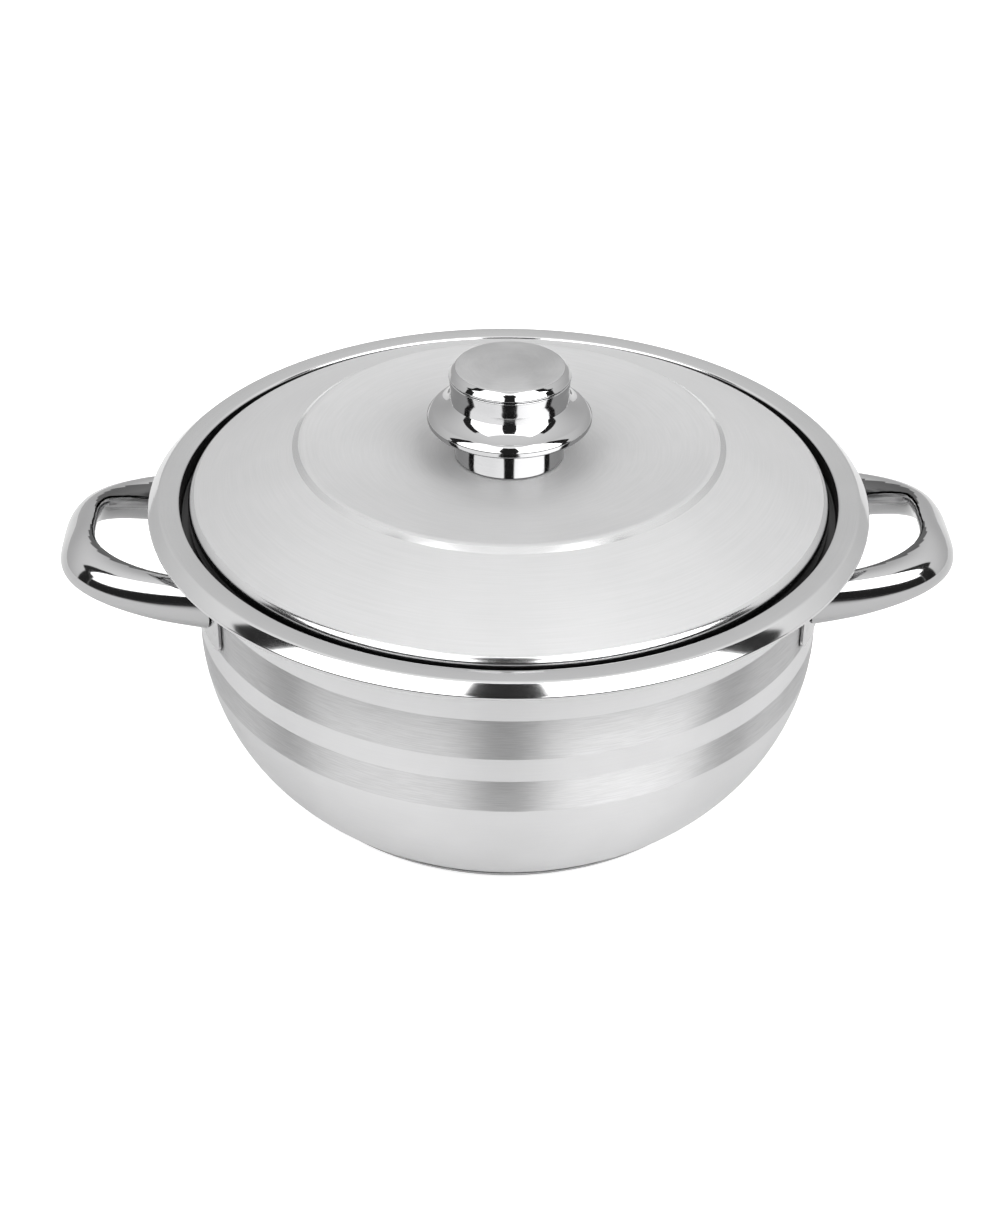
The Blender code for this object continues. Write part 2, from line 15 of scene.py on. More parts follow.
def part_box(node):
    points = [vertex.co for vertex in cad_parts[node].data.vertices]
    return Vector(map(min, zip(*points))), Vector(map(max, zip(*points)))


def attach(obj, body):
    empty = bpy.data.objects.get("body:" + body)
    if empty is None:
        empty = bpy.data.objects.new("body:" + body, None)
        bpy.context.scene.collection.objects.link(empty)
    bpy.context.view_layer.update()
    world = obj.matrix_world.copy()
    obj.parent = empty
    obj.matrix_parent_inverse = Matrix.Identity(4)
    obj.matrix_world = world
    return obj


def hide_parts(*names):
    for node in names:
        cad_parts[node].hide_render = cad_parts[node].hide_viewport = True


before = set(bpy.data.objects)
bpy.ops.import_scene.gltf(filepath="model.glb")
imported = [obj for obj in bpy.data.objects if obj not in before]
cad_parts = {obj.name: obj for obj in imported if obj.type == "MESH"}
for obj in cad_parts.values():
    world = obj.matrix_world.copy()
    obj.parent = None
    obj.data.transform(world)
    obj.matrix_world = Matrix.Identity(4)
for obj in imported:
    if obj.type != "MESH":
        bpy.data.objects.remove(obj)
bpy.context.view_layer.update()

FULL_TURN = math.radians(360)
HALF_TURN = FULL_TURN / 2
QUARTER_TURN = FULL_TURN / 4
WELD_DISTANCE = 0.000002

# How finely the round pieces are cut
VESSEL_STEPS = 192
KNOB_STEPS = 128
FILLET_STEPS = 6

# Small rounding on the cut edges of sheet metal
EDGE_ROUND = 0.00012
EDGE_ROUND_STEPS = 2
EDGE_ROUND_LIMIT = math.radians(50)

# Vessel
VESSEL_SHEET = 0.0008
FLOOR_BEND_RADIUS = 0.004
WALL_FOOT_HEIGHT = 0.070
LEDGE_WIDTH = 0.0050
LEDGE_BEND_RADIUS = 0.0012
RECESS_DEPTH = 0.0079
RIM_WIDTH = 0.0126
RIM_INNER_BEND_RADIUS = 0.0008
RIM_CREST_SETBACK = 0.0044
RIM_CREST_RISE = 0.0003
RIM_CREST_BEND_RADIUS = 0.0014
RIM_EDGE_DROP = 0.0037
RIM_EDGE_BEND_RADIUS = 0.0006
RIM_CURL_DROP = 0.0004
RIM_CURL_RADIUS = 0.0006
RIM_CURL_TURN = 150
RIM_POLISHED_DEPTH = 0.0022
BOWL_STEPS = 40
ROLL_STEPS = 14
# The crest's bend leaves its top this far under the corner that it rounds
RIM_CREST_CUT = 0.00004
RIM_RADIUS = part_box("pot_body")[1].x
RIM_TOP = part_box("pot_body")[1].z
FLOOR_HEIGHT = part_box("pot_body")[0].z
RECESS_RADIUS = RIM_RADIUS - RIM_WIDTH
WALL_RADIUS = RECESS_RADIUS - LEDGE_WIDTH
LEDGE_HEIGHT = RIM_TOP + RIM_CREST_CUT - RIM_CREST_RISE - RECESS_DEPTH
# Painted shade: below this height the inside of the recess is near black
RECESS_SHADE_TOP = RIM_TOP - RIM_POLISHED_DEPTH

# Brushed bands round the wall, each from one height to another; the wall is polished elsewhere
BRUSHED_BANDS = ((0.0591, 0.0733), (0.0832, 0.1004))

# Base
BASE_SHEET = 0.0006
BASE_SETBACK = 0.0003
BASE_FLARE = 0.0044
BASE_BEND_RADIUS = 0.0016
BASE_BAND_HEIGHT = 0.0012
BASE_GROOVE = 0.0005
BASE_TOP_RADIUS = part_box("base_cap")[1].x
BASE_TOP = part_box("base_cap")[1].z
BASE_FOOT_RADIUS = BASE_TOP_RADIUS - BASE_FLARE
FLOOR_RADIUS = BASE_TOP_RADIUS + BASE_SETBACK

# Handles
HANDLE_SHEET = 0.0010
HANDLE_SEAM = 0.0007
HANDLE_SEAM_JAG = 0.00016
# The seam's line wanders in two waves, with these turns from one section to the next
SEAM_SHORT_WAVE = 1.9
SEAM_LONG_WAVE = 0.73
FOOT_EASE = 0.014
HANDLE_PROJECTION = 0.0462
HANDLE_ROOT_DEPTH = 0.0299
HANDLE_HALF_SPREAD = 0.0423
HANDLE_SQUARENESS = 3.33
HANDLE_TIP_REACH = WALL_RADIUS + HANDLE_PROJECTION
HANDLE_ROOT_REACH = WALL_RADIUS - HANDLE_ROOT_DEPTH
ROOT_BELOW_LEDGE = 0.0217
GRIP_RISE = 0.0089
ROOT_HEIGHT = LEDGE_HEIGHT - ROOT_BELOW_LEDGE
GRIP_HEIGHT = ROOT_HEIGHT + GRIP_RISE
GRIP_HALF_WIDTH = 0.0093
GRIP_HALF_THICKNESS = 0.0044
GRIP_TILT = math.radians(48)
ROOT_HALF_WIDTH = 0.0089
ROOT_HALF_THICKNESS = 0.0113
ROOT_TILT = math.radians(12)
HANDLE_BLEND_POWER = 3
THICKENING_POWER = 2.5
HANDLE_STATIONS = 97
HANDLE_SECTION_POINTS = 56
# The outer side of the arms is flattened by this share, on a face that looks up by this angle
ARM_FLATNESS = 0.042
ARM_FLAT_FACE = math.radians(22)
# The inner side of the arms is rougher and painted dark as shade, from the seam up to this turn
# round the tube
INNER_SHADE_SPREAD = 1.15
INNER_SHADE_TURN = math.radians(52)
PATH_SAMPLES = 2400

# Handle plates and their spot welds
PLATE_SHEET = 0.0012
PLATE_SIDE_MARGIN = 0.0086
PLATE_END_MARGIN = 0.0017
PLATE_CORNER_RADIUS = 0.004
PLATE_CELLS_ACROSS = 70
PLATE_CELLS_UP = 52
SEAT_GAP = 0.0003
WELD_DOT_RADIUS = 0.0016
WELD_DOT_DEPTH = 0.0003
WELD_DOT_INSET = 0.0037
WELD_DOT_HALF_SPACING = 0.0060

# Lid
LID_SHEET = 0.0006
LID_SHOULDER_RADIUS = 0.0045
LID_SHOULDER_START = 64
LID_SHOULDER_STEPS = 14
LID_CURL_RADIUS = 0.0010
LID_DOME_RISE = 0.0219
LID_DOME_BULGE = 0.0010
LID_DOME_STEPS = 16
RING_RADIUS = 0.0846
RING_STEP = 0.0021
RING_STEP_WIDTH = 0.0031
RING_EDGE_RADIUS = 0.0024
RING_CORNER_RADIUS = 0.0008
RING_POLISHED_INWARD = 0.0012
RING_POLISHED_OUTWARD = 0.0004
LID_DISH_DEPTH = 0.0075
LID_DISH_POWER = 1.6
LID_DISH_STEPS = 24
SCREW_HOLE_RADIUS = 0.0028
LID_POLISHED_WIDTH = 0.0035
LID_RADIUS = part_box("lid_shell")[1].x
LID_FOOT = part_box("lid_shell")[0].z
DISC_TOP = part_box("lid_shell")[1].z
RING_HEIGHT = DISC_TOP - RING_STEP
LID_SHOULDER_HEIGHT = RING_HEIGHT - LID_DOME_RISE
LID_CENTRE_HEIGHT = DISC_TOP - LID_DISH_DEPTH
RING_POLISHED = (RING_RADIUS - RING_POLISHED_INWARD, RING_RADIUS + RING_POLISHED_OUTWARD)
LID_POLISHED_FROM = LID_RADIUS - LID_POLISHED_WIDTH

# Knob
KNOB_SHEET = 0.0007
SKIRT_CURL_RADIUS = 0.0008
SKIRT_CURL_TURN = 130
SKIRT_LIP_HEIGHT = 0.0052
SKIRT_LIP_WIDTH = 0.0030
SKIRT_LIP_START = 67.5
SKIRT_LIP_SLOPE = math.radians(52)
SKIRT_LIP_BEND_RADIUS = 0.0005
SKIRT_FLARE_HEIGHT = 0.0046
SKIRT_FLARE_WIDTH = 0.0087
WAIST_HEIGHT = 0.0094
WAIST_SHARE = 0.45
WAIST_RADIUS = 0.0230
WAIST_FOOT_FLARE = 0.0004
WAIST_TOP_FLARE = 0.0006
WAIST_BEND_RADIUS = 0.012
WAIST_CREASE_RADIUS = 0.00025
FLARE_START_SLOPE = math.radians(50)
FLARE_END_SLOPE = math.radians(17)
FLARE_BEND_SHARE = 0.96
SPIGOT_HEIGHT = 0.0010
SPIGOT_PLAY = 0.0005
SEAM_GROOVE = 0.0004
CAP_OVERHANG = 0.0008
CAP_BAND_HEIGHT = 0.0004
CAP_BEVEL_WIDTH = 0.0028
CAP_BEVEL_HEIGHT = 0.0028
CAP_BEVEL_BULGE = 0.0002
CAP_BEND_RADIUS = 0.0012
CAP_CROWN = 0.0010
CROWN_STEPS = 12
COLLAR_SEAT_WIDTH = 0.004
WAIST_FOOT_RADIUS = WAIST_RADIUS + WAIST_FOOT_FLARE
WAIST_TOP_RADIUS = WAIST_RADIUS + WAIST_TOP_FLARE
CAP_RADIUS = WAIST_RADIUS + CAP_OVERHANG
SKIRT_RADIUS = WAIST_FOOT_RADIUS + SKIRT_FLARE_WIDTH
SKIRT_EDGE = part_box("knob_skirt")[0].z
SKIRT_LIP_TOP = SKIRT_EDGE + SKIRT_LIP_HEIGHT
WAIST_FOOT_HEIGHT = SKIRT_LIP_TOP + SKIRT_FLARE_HEIGHT
WAIST_TOP_HEIGHT = WAIST_FOOT_HEIGHT + WAIST_HEIGHT
COLLAR_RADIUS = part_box("knob_collar")[1].x
COLLAR_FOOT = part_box("knob_collar")[0].z
COLLAR_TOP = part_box("knob_collar")[1].z
CAP_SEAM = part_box("knob_cap")[0].z

# Camera, as the photograph was taken. The shift is in pixels of its 1000 x 1208 picture
PICTURE_HEIGHT = 1208
CAMERA_TARGET_HEIGHT = 0.065
CAMERA_DISTANCE = 1.0
CAMERA_ELEVATION = math.radians(33.06)
CAMERA_SIDEWAYS = math.radians(-1.75)
CAMERA_ROLL = 0.010
CAMERA_FOCAL_PIXELS = 2441
CAMERA_SHIFT_PIXELS = (-7.6, 10.8)
SENSOR_WIDTH = 36

# Floor, which the metal mirrors as a table top with painted shade: its colour and glow fade towards
# its front edge, as where the light on it falls off
FLOOR_HALF_SIZE = 4
FLOOR_CLEARANCE = 0.00005
FLOOR_COLOUR = (0.80, 0.80, 0.80)
FLOOR_ROUGHNESS = 0.9
FLOOR_SPECULAR = 0.1
FLOOR_GLOW = 0.05
MIRRORED_FLOOR = 0.72
FLOOR_GLOW_SEEN = 0.65
TABLE_LIT_TO = 0.35
TABLE_DARK_FROM = 1.10

# Light: a bright tent with a dark slit behind the camera and one at each side of the front panels.
# Widths, shifts and heights are in degrees round and above the pot
SLIT_HALF_WIDTH = 10.8
SLIT_TOP_HALF_WIDTH = 16.5
SLIT_WIDENS_FROM = 36
SLIT_WIDENS_TO = 50
SLIT_TOP = 72
SIDE_SLIT_FROM = 72
SIDE_SLIT_TO = 87.5
SIDE_SLIT_SHIFT = 9
SIDE_SLIT_SHIFTS_FROM = 28
SIDE_SLIT_SHIFTS_TO = 33
SIDE_SLIT_TOP = 63
PANEL_FOOT = 23
PANEL_TOP = 74
PANEL_LIGHT_LEFT = 3.6
PANEL_LIGHT_RIGHT = 5.2
PANEL_TURNS_WITHIN = 45
SLIT_LIGHT = 0.03
SOFT_EDGE = 1.2
# The tent brightens from its low back to its high front: along (height - way back), from -1 to 1.41
TENT_DIM = 0.70
TENT_BRIGHT = 1.30
TENT_BRIGHTENS_FROM = -0.9
TENT_BRIGHTENS_TO = 1.2
# What the camera sees past the floor's edge
BACKDROP = 0.9

# Finishes
STEEL_BLUE = 1.005
BRUSHING_TURN = 0.25
NOISE_LOW, NOISE_HIGH = 0.3, 0.7
LINE_DETAIL = 3
LINE_HEIGHT = 0.00005
INNERMOST_LINE = 0.000002
CLOUD_DETAIL = 4
SCRATCH_WIDTH = 0.012
SCRATCH_WANDER = 0.02
SCRATCHED_FROM, SCRATCHED_TO = 0.52, 0.66
# Roughness that the satin lid has for what stands close to it
CLOSE_MIRROR = 0.10


def arc(centre, radius, start, end, steps):
    """Points (r, z) on a circle about centre, from start to end in degrees, with no bend."""
    points = []
    for i in range(steps + 1):
        angle = math.radians(start + (end - start) * i / steps)
        x = centre[0] + radius * math.cos(angle)
        z = centre[1] + radius * math.sin(angle)
        points.append((x, z, 0))
    return points


def round_corner(bm, vert, radius):
    """Turns a corner of a line into an arc of that radius."""
    arms = [(edge.other_vert(vert).co - vert.co).normalized() for edge in vert.link_edges]
    half = arms[0].angle(arms[1]) / 2
    bmesh.ops.bevel(
        bm,
        geom=[vert],
        offset=radius / math.tan(half),
        offset_type="OFFSET",
        segments=FILLET_STEPS,
        profile=0.5,
        affect="VERTICES",
        material=-1,
    )


def spun_sheet(corners, steps):
    """A surface spun round the axis from the line through corners (r, z, bend radius)."""
    bm = bmesh.new()
    points = [bm.verts.new((r, 0, z)) for r, z, _ in corners]
    for pair in zip(points, points[1:]):
        bm.edges.new(pair)
    bends = [(point, radius) for point, (_, _, radius) in zip(points, corners) if radius]
    for point, radius in bends:
        round_corner(bm, point, radius)
    bmesh.ops.spin(
        bm,
        geom=list(bm.verts) + list(bm.edges),
        cent=(0, 0, 0),
        axis=(0, 0, 1),
        angle=FULL_TURN,
        steps=steps,
        use_merge=True,
    )
    bmesh.ops.remove_doubles(bm, verts=bm.verts, dist=WELD_DISTANCE)
    bmesh.ops.recalc_face_normals(bm, faces=bm.faces)
    # An open sheet may come out facing inwards
    outward = sum(f.calc_center_median().dot(f.normal) * f.calc_area() for f in bm.faces)
    if outward < 0:
        bmesh.ops.reverse_faces(bm, faces=bm.faces)
    return bm


def add_piece(name, bm, materials, slot, body, *replaced):
    """Makes the object, with its materials, the body it rides on and what it replaces. The slot is
    not used.
    """
    mesh = bpy.data.meshes.new(name)
    bm.to_mesh(mesh)
    bm.free()
    mesh.shade_smooth()
    for material in materials:
        mesh.materials.append(material)
    piece = bpy.data.objects.new(name, mesh)
    bpy.context.scene.collection.objects.link(piece)
    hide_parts(*replaced)
    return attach(piece, body)


def give_thickness(piece, sheet, other_side=0):
    """Thickens a surface to both sides and rounds its cut edges.

    The inner side has the materials that stand that many places after the outer side's.
    """
    wall = piece.modifiers.new("sheet", "SOLIDIFY")
    wall.thickness = sheet
    wall.offset = 0
    wall.use_even_offset = True
    wall.material_offset = other_side
    edges = piece.modifiers.new("edges", "BEVEL")
    edges.width = EDGE_ROUND
    edges.segments = EDGE_ROUND_STEPS
    edges.limit_method = "ANGLE"
    edges.angle_limit = EDGE_ROUND_LIMIT
    edges.harden_normals = True


def lay_uv_round(bm):
    """A UV map whose first direction runs round the axis, for finishes that follow the turning."""
    layer = bm.loops.layers.uv.new("round")
    for face in bm.faces:
        middle = face.calc_center_median()
        turn = math.atan2(middle.y, middle.x)
        for loop in face.loops:
            point = loop.vert.co
            past = math.remainder(math.atan2(point.y, point.x) - turn, FULL_TURN)
            loop[layer].uv = ((turn + past) / FULL_TURN, point.z / RIM_TOP)


def vessel_corners():
    """The middle of the vessel's sheet: floor, bowl, upright wall, ledge, recess and rolled rim."""
    half = VESSEL_SHEET / 2
    floor = FLOOR_HEIGHT + half
    wall = WALL_RADIUS - half
    inset = wall - FLOOR_RADIUS
    depth = WALL_FOOT_HEIGHT - floor
    bowl_radius = (inset**2 + depth**2) / (2 * inset)
    drop = math.degrees(math.atan2(depth, bowl_radius - inset))
    bowl_centre = (wall - bowl_radius, WALL_FOOT_HEIGHT)
    bowl = arc(bowl_centre, bowl_radius, -drop, 0, BOWL_STEPS)
    ledge = LEDGE_HEIGHT - half
    recess = RECESS_RADIUS + half
    flange = LEDGE_HEIGHT + RECESS_DEPTH - half
    crest = flange + RIM_CREST_RISE
    edge = RIM_RADIUS - half
    edge_height = crest - RIM_EDGE_DROP
    curl_centre = (edge - RIM_CURL_RADIUS, edge_height - RIM_CURL_DROP)
    curl = arc(curl_centre, RIM_CURL_RADIUS, 0, -RIM_CURL_TURN, ROLL_STEPS)
    foot = (*bowl[0][:2], FLOOR_BEND_RADIUS)
    corners = [(0, floor, 0), foot]
    # The floor's bend takes the place of the bowl's first points
    corners += [p for p in bowl[1:] if p[1] > floor + FLOOR_BEND_RADIUS]
    corners += [
        (wall, ledge, LEDGE_BEND_RADIUS),
        (recess, ledge, LEDGE_BEND_RADIUS),
        (recess, flange, RIM_INNER_BEND_RADIUS),
        (RIM_RADIUS - RIM_CREST_SETBACK, crest, RIM_CREST_BEND_RADIUS),
        (edge, edge_height, RIM_EDGE_BEND_RADIUS),
    ]
    return corners + curl


def build_vessel(finish):
    """The vessel's outside is polished with brushed bands, and its inside is satin, but for painted
    shade: near black down in the recess under the lid's edge.
    """
    bm = spun_sheet(vessel_corners(), VESSEL_STEPS)
    for band in BRUSHED_BANDS:
        for height in band:
            bmesh.ops.bisect_plane(
                bm,
                geom=list(bm.verts) + list(bm.edges) + list(bm.faces),
                dist=WELD_DISTANCE,
                plane_co=(0, 0, height),
                plane_no=(0, 0, 1),
            )
    for face in bm.faces:
        middle = face.calc_center_median()
        if any(low < middle.z < high for low, high in BRUSHED_BANDS):
            face.material_index = 1
        if middle.z > LEDGE_HEIGHT - LEDGE_BEND_RADIUS:
            inside_rim = middle.xy.length < RECESS_RADIUS + VESSEL_SHEET
            # Faces down in the recess carry a near-black painted shade on their inner side
            in_recess = inside_rim and middle.z < RECESS_SHADE_TOP
            face.material_index = 3 if in_recess else 2
    lay_uv_round(bm)
    rim = finish["polished_rim"]
    outside = [finish["polished_wall"], finish["brushed_band"], rim, rim]
    inside = [finish["satin_inside"], finish["satin_inside"], rim, finish["recess_painted_shade"]]
    piece = add_piece("vessel", bm, outside + inside, "satin_steel", "pot", "pot_body")
    give_thickness(piece, VESSEL_SHEET, len(outside))


def build_base(finish):
    """The pressed cap of the base, with a short upright band under the vessel's floor."""
    half = BASE_SHEET / 2
    side = BASE_TOP_RADIUS - half
    corners = [
        (0, half, 0),
        (BASE_FOOT_RADIUS - half, half, BASE_BEND_RADIUS),
        (side, BASE_TOP - BASE_BAND_HEIGHT, EDGE_ROUND),
        (side, BASE_TOP - BASE_GROOVE, 0),
    ]
    bm = spun_sheet(corners, VESSEL_STEPS)
    piece = add_piece("base_cover", bm, [finish["satin_base"]], "satin_steel", "pot", "base_cap")
    give_thickness(piece, BASE_SHEET)


def lid_corners():
    """The middle of the lid's sheet: screw hole, dish, step, dome, shoulder and curled edge."""
    half = LID_SHEET / 2
    centre = LID_CENTRE_HEIGHT - half
    disc_edge = RING_RADIUS - RING_STEP_WIDTH
    disc_height = DISC_TOP - half
    corners = [(SCREW_HOLE_RADIUS, centre, 0), (COLLAR_RADIUS, centre, 0)]
    for i in range(1, LID_DISH_STEPS + 1):
        share = i / (LID_DISH_STEPS + 1)
        radius = COLLAR_RADIUS + (disc_edge - COLLAR_RADIUS) * share
        corners.append((radius, centre + (disc_height - centre) * share**LID_DISH_POWER, 0))
    corners += [
        (disc_edge, disc_height, RING_EDGE_RADIUS),
        (RING_RADIUS, RING_HEIGHT - half, RING_CORNER_RADIUS),
    ]
    shoulder_centre = (LID_RADIUS - LID_SHOULDER_RADIUS, LID_SHOULDER_HEIGHT)
    shoulder_radius = LID_SHOULDER_RADIUS - half
    shoulder = arc(shoulder_centre, shoulder_radius, LID_SHOULDER_START, 0, LID_SHOULDER_STEPS)
    start = Vector((RING_RADIUS, RING_HEIGHT - half))
    across = Vector(shoulder[0][:2]) - start
    for i in range(1, LID_DOME_STEPS):
        share = i / LID_DOME_STEPS
        point = start + across * share
        corners.append((point.x, point.y + 4 * LID_DOME_BULGE * share * (1 - share), 0))
    edge = LID_FOOT + half
    skirt = LID_RADIUS - half
    corners += shoulder
    corners += [(skirt, edge, LID_CURL_RADIUS), (skirt - 2 * LID_CURL_RADIUS, edge, 0)]
    return corners


def build_lid(finish):
    """The disc and the dome are satin, the step round the disc and the shoulder are polished."""
    bm = spun_sheet(lid_corners(), VESSEL_STEPS)
    for face in bm.faces:
        reach = face.calc_center_median().xy.length
        if reach > LID_POLISHED_FROM or RING_POLISHED[0] < reach < RING_POLISHED[1]:
            face.material_index = 1
    outside = [finish["satin_lid"], finish["polished_lid"]]
    inside = [finish["satin_inside"]] * len(outside)
    piece = add_piece("lid_dome", bm, outside + inside, "satin_steel", "lid", "lid_shell")
    give_thickness(piece, LID_SHEET, len(outside))


def skirt_corners():
    """The middle of the skirt's sheet, from the spigot inside the cap down to its curled lip."""
    half = KNOB_SHEET / 2
    edge = SKIRT_RADIUS - half
    curl_top = SKIRT_EDGE + SKIRT_CURL_RADIUS + half
    curl_centre = (edge - SKIRT_CURL_RADIUS, curl_top)
    curl = arc(curl_centre, SKIRT_CURL_RADIUS, 0, -SKIRT_CURL_TURN, ROLL_STEPS)
    # The lip slopes straight down to its upright edge
    start = math.radians(SKIRT_LIP_START)
    lip_radius = edge - (SKIRT_LIP_WIDTH - half) * (1 - math.cos(start))
    lip_height = curl_top + (SKIRT_LIP_TOP - curl_top - half) * math.sin(start)
    bend_height = lip_height - (edge - lip_radius) * math.tan(SKIRT_LIP_SLOPE)
    lip = [(lip_radius, lip_height, 0), (edge, bend_height, SKIRT_LIP_BEND_RADIUS)]
    # The flare leaves the waist in a crease and bends evenly to the lip
    foot = WAIST_FOOT_RADIUS - half
    run, fall = lip_radius - foot, WAIST_FOOT_HEIGHT - lip_height
    steep, shallow = math.tan(FLARE_START_SLOPE), math.tan(FLARE_END_SLOPE)
    out = (fall - run * shallow) / (steep - shallow)
    corner = (foot + out, WAIST_FOOT_HEIGHT - out * steep)
    arm = min(out / math.cos(FLARE_START_SLOPE), (run - out) / math.cos(FLARE_END_SLOPE))
    bend = FLARE_BEND_SHARE * arm / math.tan((FLARE_START_SLOPE - FLARE_END_SLOPE) / 2)
    narrow = WAIST_FOOT_HEIGHT + WAIST_HEIGHT * WAIST_SHARE
    rim = WAIST_TOP_HEIGHT - SEAM_GROOVE
    spigot = CAP_RADIUS - KNOB_SHEET - SPIGOT_PLAY - half
    top = [
        (spigot, WAIST_TOP_HEIGHT + SPIGOT_HEIGHT, 0),
        (spigot, rim, 0),
        (WAIST_TOP_RADIUS - half, rim, EDGE_ROUND),
        (WAIST_RADIUS - half, narrow, WAIST_BEND_RADIUS),
        (foot, WAIST_FOOT_HEIGHT, WAIST_CREASE_RADIUS),
        (*corner, bend),
    ]
    return top + lip + curl


def cap_corners():
    """The middle of the cap's sheet, from its crown over a bevel to its edge on the skirt."""
    half = KNOB_SHEET / 2
    edge = CAP_RADIUS - half
    bevel_foot = CAP_SEAM + CAP_BAND_HEIGHT
    bevel_top = bevel_foot + CAP_BEVEL_HEIGHT
    flat = CAP_RADIUS - CAP_BEVEL_WIDTH
    corners = []
    for i in range(CROWN_STEPS):
        share = i / CROWN_STEPS
        corners.append((flat * share, bevel_top + CAP_CROWN * (1 - share**2), 0))
    bulge_radius = (flat + edge) / 2 + CAP_BEVEL_BULGE
    bulge_height = (bevel_top + bevel_foot) / 2 + CAP_BEVEL_BULGE
    return corners + [
        (flat, bevel_top, CAP_BEND_RADIUS),
        (bulge_radius, bulge_height, CAP_BEVEL_HEIGHT),
        (edge, bevel_foot, CAP_BAND_HEIGHT / 2),
        (edge, CAP_SEAM, 0),
    ]


def build_skirt(finish):
    """The knob's waist and flared skirt, polished outside, and dull inside with a pale painted
    light that lightens the lid under the knob.
    """
    outside, inside = [finish["polished_knob"]], [finish["skirt_inside_painted_light"]]
    bm = spun_sheet(skirt_corners(), KNOB_STEPS)
    piece = add_piece("knob_waist", bm, outside + inside, "polished_steel", "lid", "knob_skirt")
    give_thickness(piece, KNOB_SHEET, len(outside))


def build_cap(finish):
    """The knob's cap, with a satin crown and a polished bevel."""
    bm = spun_sheet(cap_corners(), KNOB_STEPS)
    for face in bm.faces:
        if face.calc_center_median().xy.length > CAP_RADIUS - CAP_BEVEL_WIDTH:
            face.material_index = 1
    both = [finish["satin_knob_cap"], finish["polished_knob"]]
    piece = add_piece("knob_top", bm, both + both, "polished_steel", "lid", "knob_cap")
    give_thickness(piece, KNOB_SHEET, len(both))


def build_collar(finish):
    """The tube that the knob stands on, turned in at its foot."""
    tube = COLLAR_RADIUS - KNOB_SHEET / 2
    seat = COLLAR_FOOT + KNOB_SHEET / 2
    corners = [(tube, COLLAR_TOP, 0), (tube, seat, 0), (tube - COLLAR_SEAT_WIDTH, seat, 0)]
    bm = spun_sheet(corners, KNOB_STEPS)
    bright = [finish["polished_knob"]]
    piece = add_piece("knob_foot", bm, bright, "polished_steel", "lid", "knob_collar")
    give_thickness(piece, KNOB_SHEET)


def handle_centre(angle):
    """The tube's middle line: 0 at the grip's tip, a quarter turn either way at its ideal roots."""
    reach = HANDLE_TIP_REACH - HANDLE_ROOT_REACH
    side = math.copysign(abs(math.sin(angle)) ** (2 / HANDLE_SQUARENESS), angle)
    x = HANDLE_ROOT_REACH + reach * math.cos(angle)
    y = HANDLE_HALF_SPREAD * side
    fade = abs(side) ** HANDLE_BLEND_POWER
    return Vector((x, y, GRIP_HEIGHT + (ROOT_HEIGHT - GRIP_HEIGHT) * fade))


def plate_face_radius():
    """How far the outer face of the handle plates is from the pot's axis."""
    return WALL_RADIUS + SEAT_GAP + PLATE_SHEET


def foot_angle():
    """Where the tube's middle line meets the face of the plates."""
    for i in range(PATH_SAMPLES + 1):
        angle = QUARTER_TURN * i / PATH_SAMPLES
        if handle_centre(angle).xy.length <= plate_face_radius() + SEAT_GAP:
            break
    return angle


def station_angles():
    """Angles that put the sections at even steps along the middle line, from foot to foot."""
    end = foot_angle()
    samples = [end * (2 * i / PATH_SAMPLES - 1) for i in range(PATH_SAMPLES + 1)]
    run = [0]
    for a, b in zip(samples, samples[1:]):
        run.append(run[-1] + (handle_centre(b) - handle_centre(a)).length)
    angles = []
    for i in range(HANDLE_STATIONS):
        goal = run[-1] * i / (HANDLE_STATIONS - 1)
        nearest = min(range(len(run)), key=lambda k: abs(run[k] - goal))
        angles.append(samples[nearest])
    return angles


def section_place(angle, before, after):
    """The matrix that makes a unit circle the tube's section there. Its X side holds the seam."""
    centre = handle_centre(angle)
    along = (handle_centre(after) - handle_centre(before)).normalized()
    outward = Vector((along.y, -along.x, 0)).normalized()
    upward = outward.cross(along)
    fade = abs(centre.y / HANDLE_HALF_SPREAD)
    blend = fade**HANDLE_BLEND_POWER
    thicken = fade**THICKENING_POWER
    inward = HANDLE_SHEET / 2
    width = GRIP_HALF_WIDTH + (ROOT_HALF_WIDTH - GRIP_HALF_WIDTH) * blend - inward
    thickness = GRIP_HALF_THICKNESS + (ROOT_HALF_THICKNESS - GRIP_HALF_THICKNESS) * thicken
    tilt = GRIP_TILT + (ROOT_TILT - GRIP_TILT) * blend
    broad = outward * math.cos(tilt) - upward * math.sin(tilt)
    narrow = outward * math.sin(tilt) + upward * math.cos(tilt)
    columns = (broad * -width, narrow * (thickness - inward), along)
    place = Matrix.Identity(4)
    for i, column in enumerate(columns):
        place.col[i] = (*column, 0)
    place.col[3] = (*centre, 1)
    return place


def run_to_plate(point, way):
    """How far a point has to go along the flat direction way to lie on the face of the plate."""
    stop = plate_face_radius() + SEAT_GAP
    outward = point.xy.dot(way)
    return math.sqrt(outward**2 - point.xy.length_squared + stop**2) - outward


def fit_foot(rings, places):
    """Cuts a tube's end to the plate's curve, and eases the slant out over the next sections."""
    way = (places[1].col[3].xyz - places[0].col[3].xyz).xy.normalized()
    for i, (ring, place) in enumerate(zip(rings, places)):
        middle = place.col[3].xyz
        weight = 1 - (middle - places[0].col[3].xyz).length / FOOT_EASE
        if weight <= 0:
            break
        start = run_to_plate(middle, way) if i else 0
        for vert in ring:
            vert.co.xy += way * (run_to_plate(vert.co, way) - start) * weight


def open_seam(lips, place, station):
    """Sets the two lips of the seam apart, along a slightly uneven line."""
    thickness = place.col[1].xyz.length
    for sign, lip in zip((1, -1), lips):
        short = math.sin(station * SEAM_SHORT_WAVE + sign)
        long = math.sin(station * SEAM_LONG_WAVE + 2 * sign)
        over = (HANDLE_SEAM + HANDLE_SEAM_JAG * (short + long)) / 2 / thickness
        lip.co = place @ Vector((math.sqrt(1 - over**2), sign * over, 0))


